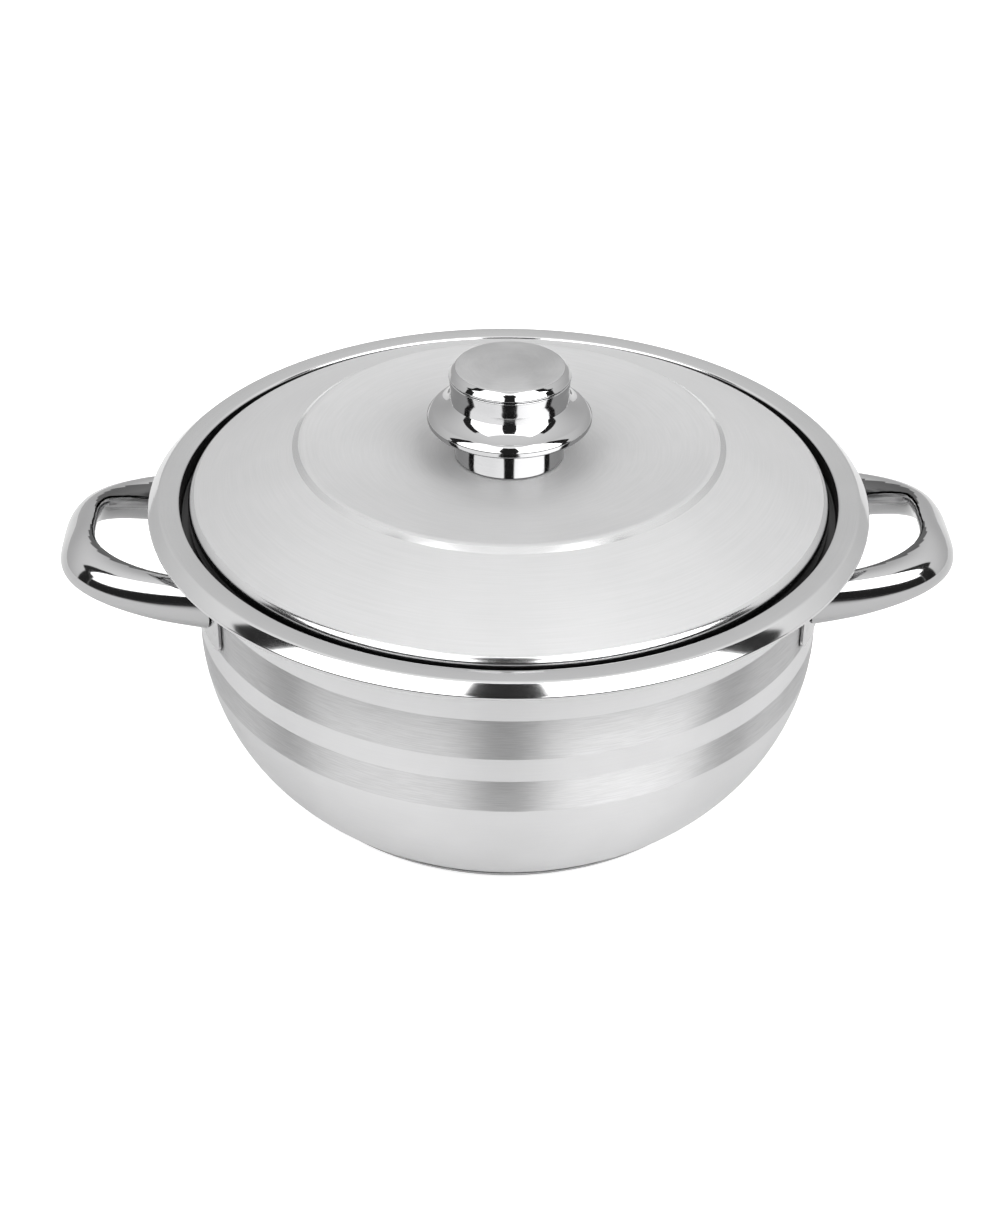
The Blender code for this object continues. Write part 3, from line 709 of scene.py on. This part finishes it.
def flatten_arm(ring, place):
    """Makes the section a little squarer, with a flat on the outer side that looks slightly up."""
    centre = place.col[3].xyz
    amount = ARM_FLATNESS * abs(centre.y / HANDLE_HALF_SPREAD) ** HANDLE_BLEND_POWER
    along = place.col[2].xyz
    outward = Vector((along.y, -along.x, 0)).normalized()
    upward = outward.cross(along)
    for vert in ring:
        arm = vert.co - centre
        turn = math.atan2(arm.dot(upward), arm.dot(outward)) - ARM_FLAT_FACE
        # A wave of four turns flattens four sides and fills the corners between them
        vert.co = centre + arm * (1 - amount * math.cos(4 * turn))


def section_places():
    """The places of all the tube's sections, from foot to foot."""
    angles = station_angles()
    befores = [angles[0]] + angles[:-1]
    afters = angles[1:] + [angles[-1]]
    return [section_place(*three) for three in zip(angles, befores, afters)]


def seam_lips(section, place):
    """The two end points of an open section, the upper one first."""
    points = {vert for edge in section for vert in edge.verts}
    ends = [v for v in points if sum(e in section for e in v.link_edges) == 1]
    centre, up = place.col[3].xyz, place.col[1].xyz
    return sorted(ends, key=lambda v: -(v.co - centre).dot(up))


def mark_inner_shade(faces, place):
    """Marks the arm's inner upper faces for painted shade, fewer of them towards the grip."""
    fade = abs(place.col[3].y / HANDLE_HALF_SPREAD) * INNER_SHADE_SPREAD
    for face in faces:
        middle = place.inverted() @ face.calc_center_median()
        turn = math.atan2(middle.y, middle.x)
        face.material_index = int(0 < turn < INNER_SHADE_TURN * min(1, fade))


def handle_tube():
    """A circle without its seam side, carried from foot to foot by one extrusion after another."""
    bm = bmesh.new()
    places = section_places()
    circle = bmesh.ops.create_circle(bm, segments=HANDLE_SECTION_POINTS, radius=1)["verts"]
    seam_side = max(circle, key=lambda v: v.co.x)
    bmesh.ops.delete(bm, geom=[seam_side], context="VERTS")
    bmesh.ops.transform(bm, matrix=places[0], verts=bm.verts)
    section = list(bm.edges)
    open_seam(seam_lips(section, places[0]), places[0], 0)
    rings = [list(bm.verts)]
    for station in range(1, len(places)):
        last, place = places[station - 1], places[station]
        made = bmesh.ops.extrude_edge_only(bm, edges=section)["geom"]
        ring = [g for g in made if isinstance(g, bmesh.types.BMVert)]
        bmesh.ops.transform(bm, matrix=place @ last.inverted(), verts=ring)
        edges = [g for g in made if isinstance(g, bmesh.types.BMEdge)]
        section = [edge for edge in edges if edge.verts[0] in ring and edge.verts[1] in ring]
        open_seam(seam_lips(section, place), place, station)
        mark_inner_shade([g for g in made if isinstance(g, bmesh.types.BMFace)], place)
        rings.append(ring)
    for ring, place in zip(rings, places):
        flatten_arm(ring, place)
    fit_foot(rings, places)
    fit_foot(rings[::-1], places[::-1])
    bmesh.ops.recalc_face_normals(bm, faces=bm.faces)
    return bm


def build_handles(finish):
    """Two alike tubes, polished, with painted shade on the inner side of their arms."""
    both = [finish["polished_handle"], finish["handle_inner_painted_shade"]]
    for side, turn in (("right", 0), ("left", HALF_TURN)):
        bm = handle_tube()
        bmesh.ops.rotate(bm, cent=(0, 0, 0), matrix=Matrix.Rotation(turn, 3, "Z"), verts=bm.verts)
        name, node = f"handle_tube_{side}", f"handle_{side}"
        piece = add_piece(name, bm, both + both, "polished_steel", "pot", node)
        give_thickness(piece, HANDLE_SHEET, len(both))


def plate_sheet():
    """A fine grid cut to a rectangle with round corners, with four spot-weld dimples pressed in."""
    bm = bmesh.new()
    half_width = ROOT_HALF_WIDTH + PLATE_SIDE_MARGIN
    half_height = ROOT_HALF_THICKNESS + PLATE_END_MARGIN
    bmesh.ops.create_grid(bm, x_segments=PLATE_CELLS_ACROSS, y_segments=PLATE_CELLS_UP, size=1)
    bmesh.ops.scale(bm, vec=(half_width, half_height, 1), verts=bm.verts)
    welds = [
        (side * (half_width - WELD_DOT_INSET), up * WELD_DOT_HALF_SPACING)
        for side in (-1, 1) for up in (-1, 1)
    ]
    corner = Vector((half_width - PLATE_CORNER_RADIUS, half_height - PLATE_CORNER_RADIUS))
    for vert in bm.verts:
        past = Vector((abs(vert.co.x) - corner.x, abs(vert.co.y) - corner.y))
        if min(past) > 0:
            # A square ring of the corner's cells becomes a round one
            past *= max(past) / past.length
            vert.co.x = math.copysign(corner.x + past.x, vert.co.x)
            vert.co.y = math.copysign(corner.y + past.y, vert.co.y)
        for weld in welds:
            near = (vert.co.xy - Vector(weld)).length / WELD_DOT_RADIUS
            if near < 1:
                vert.co.z -= WELD_DOT_DEPTH * (1 + math.cos(math.pi * near)) / 2
    return bm


def bend_round_wall(bm, turn):
    """Bends a flat sheet round the wall, with its middle at that turn from +X."""
    middle = handle_centre(foot_angle()).z
    inner = WALL_RADIUS + SEAT_GAP + PLATE_SHEET / 2
    for vert in bm.verts:
        angle = turn + vert.co.x / inner
        radius = inner + vert.co.z
        vert.co = (radius * math.cos(angle), radius * math.sin(angle), middle + vert.co.y)


def build_plates(finish):
    """One plate under each foot of the handles."""
    foot = handle_centre(foot_angle())
    spread = math.atan2(foot.y, foot.x)
    for side, end, turn in (
        ("right", "rear", spread),
        ("right", "front", -spread),
        ("left", "rear", HALF_TURN - spread),
        ("left", "front", HALF_TURN + spread),
    ):
        bm = plate_sheet()
        bend_round_wall(bm, turn)
        bmesh.ops.recalc_face_normals(bm, faces=bm.faces)
        name = f"handle_seat_{side}_{end}"
        node = f"handle_plate_{side}_{end}"
        piece = add_piece(name, bm, [finish["polished_plate"]], "polished_steel", "pot", node)
        give_thickness(piece, PLATE_SHEET)


def add_node(tree, kind, **settings):
    """Makes a node of that kind and gives it its settings."""
    node = tree.nodes.new(kind)
    for name, value in settings.items():
        setattr(node, name, value)
    return node


def feed(tree, socket, value):
    """Links a socket to another, or sets it to a plain value."""
    if isinstance(value, bpy.types.NodeSocket):
        tree.links.new(value, socket)
    else:
        socket.default_value = value


def calculate(tree, operation, *values):
    """The result of a math node, whose values are numbers or sockets."""
    node = add_node(tree, "ShaderNodeMath", operation=operation)
    for socket, value in zip(node.inputs, values):
        feed(tree, socket, value)
    return node.outputs[0]


def mix(tree, factor, without, fully):
    """Goes from one value to the other as the factor goes from nought to one."""
    node = add_node(tree, "ShaderNodeMix", data_type="FLOAT")
    for label, value in (("Factor", factor), ("A", without), ("B", fully)):
        feed(tree, node.inputs[label], value)
    return node.outputs["Result"]


def seen_directly(tree):
    """One for what the camera sees itself, nought for what other surfaces mirror or are lit by."""
    return add_node(tree, "ShaderNodeLightPath").outputs["Is Camera Ray"]


def ramp(tree, value, start, end, low=0.0, high=1.0):
    """Runs smoothly from low, where value is start, to high, where it is end."""
    node = add_node(tree, "ShaderNodeMapRange", interpolation_type="SMOOTHSTEP")
    for socket, given in zip(node.inputs, (value, start, end, low, high)):
        feed(tree, socket, given)
    return node.outputs[0]


def new_group(name, inputs, outputs):
    """An empty node group with float inputs, given with their usual values, and named outputs."""
    group = bpy.data.node_groups.new(name, "ShaderNodeTree")
    for label, value in inputs.items():
        socket = group.interface.new_socket(label, in_out="INPUT", socket_type="NodeSocketFloat")
        socket.default_value = value
    for label, kind in outputs.items():
        group.interface.new_socket(label, in_out="OUTPUT", socket_type=kind)
    entry = group.nodes.new("NodeGroupInput")
    leave = group.nodes.new("NodeGroupOutput")
    return group, entry.outputs, leave.inputs


def make_turned_marks():
    """Fine lines round the pot's axis, as spinning and brushing leave them, and their normal."""
    group, given, result = new_group(
        "turned_marks",
        {"Radius Weight": 1.0, "Height Weight": 0.0, "Lines": 2200.0, "Length": 5.0, "Depth": 0.1},
        {"Lines": "NodeSocketFloat", "Normal": "NodeSocketVector"},
    )
    place = add_node(group, "ShaderNodeTexCoord").outputs["Object"]
    split = add_node(group, "ShaderNodeSeparateXYZ")
    group.links.new(place, split.inputs[0])
    x, y, z = split.outputs
    squares = [calculate(group, "MULTIPLY", side, side) for side in (x, y)]
    radius = calculate(group, "SQRT", calculate(group, "ADD", *squares))
    outward = calculate(group, "MAXIMUM", radius, INNERMOST_LINE)
    run = calculate(
        group,
        "ADD",
        calculate(group, "MULTIPLY", radius, given["Radius Weight"]),
        calculate(group, "MULTIPLY", z, given["Height Weight"]),
    )
    vector = add_node(group, "ShaderNodeCombineXYZ")
    for socket, side in zip(vector.inputs, (x, y)):
        share = calculate(group, "DIVIDE", side, outward)
        feed(group, socket, calculate(group, "MULTIPLY", share, given["Length"]))
    feed(group, vector.inputs[2], calculate(group, "MULTIPLY", run, given["Lines"]))
    noise = add_node(group, "ShaderNodeTexNoise")
    group.links.new(vector.outputs[0], noise.inputs["Vector"])
    noise.inputs["Scale"].default_value = 1
    noise.inputs["Detail"].default_value = LINE_DETAIL
    bump = add_node(group, "ShaderNodeBump")
    bump.inputs["Distance"].default_value = LINE_HEIGHT
    feed(group, bump.inputs["Strength"], given["Depth"])
    feed(group, bump.inputs["Height"], noise.outputs["Fac"])
    feed(group, result["Lines"], noise.outputs["Fac"])
    feed(group, result["Normal"], bump.outputs["Normal"])
    return group


def make_handling():
    """Soft clouds left by polishing and wiping, and sparse hairline scratches."""
    group, given, result = new_group(
        "handling",
        {"Cloud Scale": 35.0, "Scratch Scale": 90.0},
        {"Clouds": "NodeSocketFloat", "Scratches": "NodeSocketFloat"},
    )
    place = add_node(group, "ShaderNodeTexCoord").outputs["Object"]
    clouds = add_node(group, "ShaderNodeTexNoise")
    group.links.new(place, clouds.inputs["Vector"])
    feed(group, clouds.inputs["Scale"], given["Cloud Scale"])
    clouds.inputs["Detail"].default_value = CLOUD_DETAIL
    feed(group, result["Clouds"], clouds.outputs["Fac"])
    bend = add_node(group, "ShaderNodeVectorMath", operation="MULTIPLY_ADD")
    group.links.new(clouds.outputs["Color"], bend.inputs[0])
    bend.inputs[1].default_value = (SCRATCH_WANDER, SCRATCH_WANDER, SCRATCH_WANDER)
    group.links.new(place, bend.inputs[2])
    cells = add_node(group, "ShaderNodeTexVoronoi", feature="DISTANCE_TO_EDGE")
    group.links.new(bend.outputs[0], cells.inputs["Vector"])
    feed(group, cells.inputs["Scale"], given["Scratch Scale"])
    line = ramp(group, cells.outputs["Distance"], 0.0, SCRATCH_WIDTH, 1.0, 0.0)
    patches = ramp(group, clouds.outputs["Fac"], SCRATCHED_FROM, SCRATCHED_TO)
    feed(group, result["Scratches"], calculate(group, "MULTIPLY", line, patches))
    return group


def steel(name, colour, roughness, groups, marks=None, wear=(0.03, 0.05), brushing=0.0,
          stain=0.03, scatter=0.0, bounce=1.0):
    """Bare steel, with stains of that strength and turned lines where marks gives their settings.

    Wear is what clouds and scratches add to the roughness. A face with scatter throws that share of
    the light wide, yet mirrors sharply what stands close to it. Bounce is how much brighter its
    colour is painted for what other pieces mirror and are lit by than for the camera: painted light
    on them.
    """
    material = bpy.data.materials.new(name)
    material.use_nodes = True
    tree = material.node_tree
    shader = tree.nodes["Principled BSDF"]
    shader.inputs["Metallic"].default_value = 1
    shader.inputs["Anisotropic"].default_value = brushing
    # The brushing runs along the map's first direction, and the highlight is stretched across it
    shader.inputs["Anisotropic Rotation"].default_value = BRUSHING_TURN if brushing else 0.0
    handling = add_node(tree, "ShaderNodeGroup", node_tree=groups["handling"])
    clouds, scratches = handling.outputs["Clouds"], handling.outputs["Scratches"]
    rough = calculate(tree, "MULTIPLY_ADD", clouds, wear[0], roughness - wear[0] / 2)
    rough = calculate(tree, "MULTIPLY_ADD", scratches, wear[1], rough)
    shade = ramp(tree, clouds, NOISE_LOW, NOISE_HIGH, 1.0 - stain, 1.0)
    if marks:
        turned = add_node(tree, "ShaderNodeGroup", node_tree=groups["turned_marks"])
        for label in ("Radius Weight", "Height Weight", "Lines", "Length", "Depth"):
            turned.inputs[label].default_value = marks[label]
        lines = turned.outputs["Lines"]
        rough = calculate(tree, "MULTIPLY_ADD", lines, marks["Roughness"], rough)
        darkness = ramp(tree, lines, NOISE_LOW, NOISE_HIGH, marks["Dark"], 1.0)
        shade = calculate(tree, "MULTIPLY", shade, darkness)
        tree.links.new(turned.outputs["Normal"], shader.inputs["Normal"])
    if scatter:
        seen = seen_directly(tree)
        extra = calculate(tree, "SUBTRACT", rough, CLOSE_MIRROR)
        rough = calculate(tree, "MULTIPLY_ADD", seen, extra, CLOSE_MIRROR)
        metal = calculate(tree, "MULTIPLY_ADD", seen, -scatter, 1.0)
        tree.links.new(metal, shader.inputs["Metallic"])
    # Painted light: the colour is scaled up by bounce for what other pieces mirror and are lit by
    if bounce != 1:
        painted_bounce = calculate(tree, "MULTIPLY_ADD", seen_directly(tree), 1 - bounce, bounce)
        shade = calculate(tree, "MULTIPLY", shade, painted_bounce)
    tree.links.new(rough, shader.inputs["Roughness"])
    tint = add_node(tree, "ShaderNodeVectorMath", operation="SCALE")
    tint.inputs[0].default_value = colour
    tree.links.new(shade, tint.inputs["Scale"])
    tree.links.new(tint.outputs[0], shader.inputs["Base Color"])
    return material


def grey(level):
    """The colour of bare steel, with a trace of blue."""
    return (level, level, level * STEEL_BLUE)


def follow_brushing(material):
    """Lets the stretched highlight follow the direction that the UV map gives the brushing."""
    tree = material.node_tree
    tangent = add_node(tree, "ShaderNodeTangent", direction_type="UV_MAP", uv_map="round")
    tree.links.new(tangent.outputs[0], tree.nodes["Principled BSDF"].inputs["Tangent"])


def marks(radius, height, lines, length, depth, roughness, dark):
    """The turned lines' settings, with their shares of the roughness and the shade."""
    return {
        "Radius Weight": radius,
        "Height Weight": height,
        "Lines": lines,
        "Length": length,
        "Depth": depth,
        "Roughness": roughness,
        "Dark": dark,
    }


def make_finishes():
    """Every finish by name. The first number is its grey and the second its roughness."""
    groups = {"turned_marks": make_turned_marks(), "handling": make_handling()}
    spun = marks(1.0, -1.0, 1800.0, 4.0, 0.12, 0.05, 0.95)
    fine = marks(1.0, 1.0, 2600.0, 6.0, 0.05, 0.03, 0.98)
    brushed = marks(1.0, 1.0, 3200.0, 14.0, 0.35, 0.10, 0.86)
    finish = {}

    def add(name, level, roughness, *lines, **more):
        colour = level if isinstance(level, tuple) else grey(level)
        finish[name] = steel(name, colour, roughness, groups, *lines, **more)

    add("polished_wall", 0.74, 0.31, fine, brushing=0.9)
    add("brushed_band", 0.69, 0.46, brushed, brushing=1.0)
    # Painted shade: the recess under the lid's edge is near black
    add("recess_painted_shade", 0.06, 0.35, spun)
    add("polished_rim", 0.62, 0.07, fine)
    add("satin_inside", 0.60, 0.28, spun)
    add("satin_base", 0.60, 0.25, spun)
    add("satin_lid", 0.45, 0.50, spun, scatter=0.6)
    add("polished_lid", 0.62, 0.14, fine)
    add("satin_knob_cap", 0.60, 0.38, spun, wear=(0.12, 0.06), stain=0.22)
    # Painted light: for other pieces the knob's colour is doubled, which lightens the lid round it
    add("polished_knob", 0.45, 0.05, wear=(0.02, 0.04), bounce=2.0)
    # Painted light: the inside of the skirt is paler than steel, so the lid under the knob gets
    # more light
    add("skirt_inside_painted_light", 0.88, 0.50)
    add("polished_handle", 0.48, 0.08, wear=(0.03, 0.05))
    # Painted shade: the inner side of the handles' arms is near black
    add("handle_inner_painted_shade", 0.12, 0.28, wear=(0.10, 0.06))
    add("polished_plate", 0.60, 0.14, wear=(0.04, 0.05))
    add("zinc_plating", (0.50, 0.51, 0.53), 0.36, fine)
    add("base_aluminium", (0.72, 0.73, 0.74), 0.42, spun)
    for name in ("polished_wall", "brushed_band"):
        follow_brushing(finish[name])
    return finish


def finish_carried_nodes(finish):
    """Gives the pieces that stay as they are built their metal."""
    for node, metal in (
        ("base_core", "base_aluminium"),
        ("knob_boss", "zinc_plating"),
        ("knob_screw", "zinc_plating"),
        ("spring_washer", "zinc_plating"),
        ("flat_washer", "zinc_plating"),
    ):
        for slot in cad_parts[node].material_slots:
            slot.material = finish[metal]


def make_floor():
    """A wide plain floor, just under the face that the pot stands on.

    The metal mirrors it as a table top with painted shade: its colour and glow fade towards its
    front edge, as where the light on it falls off.
    """
    bm = bmesh.new()
    bmesh.ops.create_grid(bm, x_segments=1, y_segments=1, size=FLOOR_HALF_SIZE)
    bmesh.ops.translate(bm, vec=(0, 0, -FLOOR_CLEARANCE), verts=bm.verts)
    mesh = bpy.data.meshes.new("floor")
    bm.to_mesh(mesh)
    bm.free()
    material = bpy.data.materials.new("pale_floor")
    material.use_nodes = True
    tree = material.node_tree
    shader = tree.nodes["Principled BSDF"]
    shader.inputs["Roughness"].default_value = FLOOR_ROUGHNESS
    shader.inputs["Specular IOR Level"].default_value = FLOOR_SPECULAR
    shader.inputs["Emission Color"].default_value = (1, 1, 1, 1)
    place = add_node(tree, "ShaderNodeTexCoord").outputs["Object"]
    split = add_node(tree, "ShaderNodeSeparateXYZ")
    tree.links.new(place, split.inputs[0])
    # Painted shade: for what the metal mirrors, the floor's colour and glow fade from the pot
    # towards the front
    near = ramp(tree, split.outputs["Y"], -TABLE_LIT_TO, -TABLE_DARK_FROM, MIRRORED_FLOOR, 0.0)
    seen = seen_directly(tree)
    lit = calculate(tree, "MAXIMUM", near, seen)
    tint = add_node(tree, "ShaderNodeVectorMath", operation="SCALE")
    tint.inputs[0].default_value = FLOOR_COLOUR
    tree.links.new(lit, tint.inputs["Scale"])
    tree.links.new(tint.outputs[0], shader.inputs["Base Color"])
    glow = calculate(tree, "MULTIPLY_ADD", seen, FLOOR_GLOW_SEEN - FLOOR_GLOW, FLOOR_GLOW)
    tree.links.new(calculate(tree, "MULTIPLY", glow, lit), shader.inputs["Emission Strength"])
    mesh.materials.append(material)
    floor = bpy.data.objects.new("floor", mesh)
    bpy.context.scene.collection.objects.link(floor)


def make_light():
    """The tent of soft light, by direction: how far round from the camera's side, and how high."""
    world = bpy.data.worlds.new("studio_tent")
    bpy.context.scene.world = world
    world.use_nodes = True
    tree = world.node_tree
    split = add_node(tree, "ShaderNodeSeparateXYZ")
    tree.links.new(add_node(tree, "ShaderNodeTexCoord").outputs["Generated"], split.inputs[0])
    x, y, z = split.outputs
    around = calculate(tree, "ARCTAN2", x, calculate(tree, "MULTIPLY", y, -1.0))
    around = calculate(tree, "DEGREES", calculate(tree, "SUBTRACT", around, CAMERA_SIDEWAYS))
    side = calculate(tree, "ABSOLUTE", around)
    panel_light = ramp(
        tree, around, -PANEL_TURNS_WITHIN, PANEL_TURNS_WITHIN, PANEL_LIGHT_LEFT, PANEL_LIGHT_RIGHT
    )
    height = calculate(tree, "DEGREES", calculate(tree, "ARCSINE", z))
    # The side slits lie further round above than below
    shift = ramp(tree, height, SIDE_SLIT_SHIFTS_FROM, SIDE_SLIT_SHIFTS_TO, 0.0, SIDE_SLIT_SHIFT)
    past_side = calculate(tree, "SUBTRACT", side, shift)
    lean = calculate(tree, "SUBTRACT", z, y)
    tent = ramp(tree, lean, TENT_BRIGHTENS_FROM, TENT_BRIGHTENS_TO, TENT_DIM, TENT_BRIGHT)
    front = ramp(tree, past_side, SIDE_SLIT_FROM, SIDE_SLIT_FROM + SOFT_EDGE, 1.0, 0.0)
    below_top = ramp(tree, height, PANEL_TOP - 2 * SOFT_EDGE, PANEL_TOP, 1.0, 0.0)
    above_foot = ramp(tree, height, PANEL_FOOT - SOFT_EDGE, PANEL_FOOT + SOFT_EDGE)
    below_foot = calculate(tree, "SUBTRACT", 1.0, above_foot)
    panel = calculate(tree, "MULTIPLY", calculate(tree, "MULTIPLY", below_top, above_foot), front)
    light = mix(tree, panel, tent, panel_light)
    under = calculate(tree, "MULTIPLY", below_foot, front)
    dark = calculate(tree, "MAXIMUM", slit_mask(tree, side, past_side, height), under)
    light = mix(tree, dark, light, SLIT_LIGHT)
    light = mix(tree, seen_directly(tree), light, BACKDROP)
    background = tree.nodes["Background"]
    tree.links.new(light, background.inputs["Strength"])
    background.inputs["Color"].default_value = (1, 1, 1, 1)


def slit_mask(tree, side, past_side, height):
    """One where the tent is open and dark."""
    half_width = ramp(
        tree, height, SLIT_WIDENS_FROM, SLIT_WIDENS_TO, SLIT_HALF_WIDTH, SLIT_TOP_HALF_WIDTH
    )
    past = calculate(tree, "SUBTRACT", side, half_width)
    middle = ramp(tree, past, -SOFT_EDGE, SOFT_EDGE, 1.0, 0.0)
    side_slit = calculate(
        tree,
        "MULTIPLY",
        ramp(tree, past_side, SIDE_SLIT_FROM, SIDE_SLIT_FROM + SOFT_EDGE),
        ramp(tree, past_side, SIDE_SLIT_TO, SIDE_SLIT_TO + SOFT_EDGE, 1.0, 0.0),
    )
    low = ramp(tree, height, SLIT_TOP - 2 * SOFT_EDGE, SLIT_TOP, 1.0, 0.0)
    side_low = ramp(tree, height, SIDE_SLIT_TOP - 2 * SOFT_EDGE, SIDE_SLIT_TOP, 1.0, 0.0)
    middle = calculate(tree, "MULTIPLY", middle, low)
    return calculate(tree, "MULTIPLY_ADD", side_slit, side_low, middle)


def make_camera():
    """The camera looks at the pot's axis from the photograph's angle."""
    bpy.context.scene.view_settings.view_transform = "Standard"
    camera = bpy.data.cameras.new("camera")
    camera.sensor_width = SENSOR_WIDTH
    camera.lens = CAMERA_FOCAL_PIXELS / PICTURE_HEIGHT * SENSOR_WIDTH
    camera.shift_x, camera.shift_y = (p / PICTURE_HEIGHT for p in CAMERA_SHIFT_PIXELS)
    eye = bpy.data.objects.new("camera", camera)
    bpy.context.scene.collection.objects.link(eye)
    flat = math.cos(CAMERA_ELEVATION)
    back = Vector((
        math.sin(CAMERA_SIDEWAYS) * flat,
        -math.cos(CAMERA_SIDEWAYS) * flat,
        math.sin(CAMERA_ELEVATION),
    ))
    target = Vector((0, 0, CAMERA_TARGET_HEIGHT))
    turn = back.to_track_quat("Z", "Y").to_matrix().to_4x4()
    roll = Matrix.Rotation(CAMERA_ROLL, 4, "Z")
    eye.matrix_world = Matrix.Translation(target + back * CAMERA_DISTANCE) @ turn @ roll
    bpy.context.scene.camera = eye


finish = make_finishes()
build_vessel(finish)
build_base(finish)
build_handles(finish)
build_plates(finish)
build_lid(finish)
build_skirt(finish)
build_cap(finish)
build_collar(finish)
finish_carried_nodes(finish)
make_floor()
make_light()
make_camera()
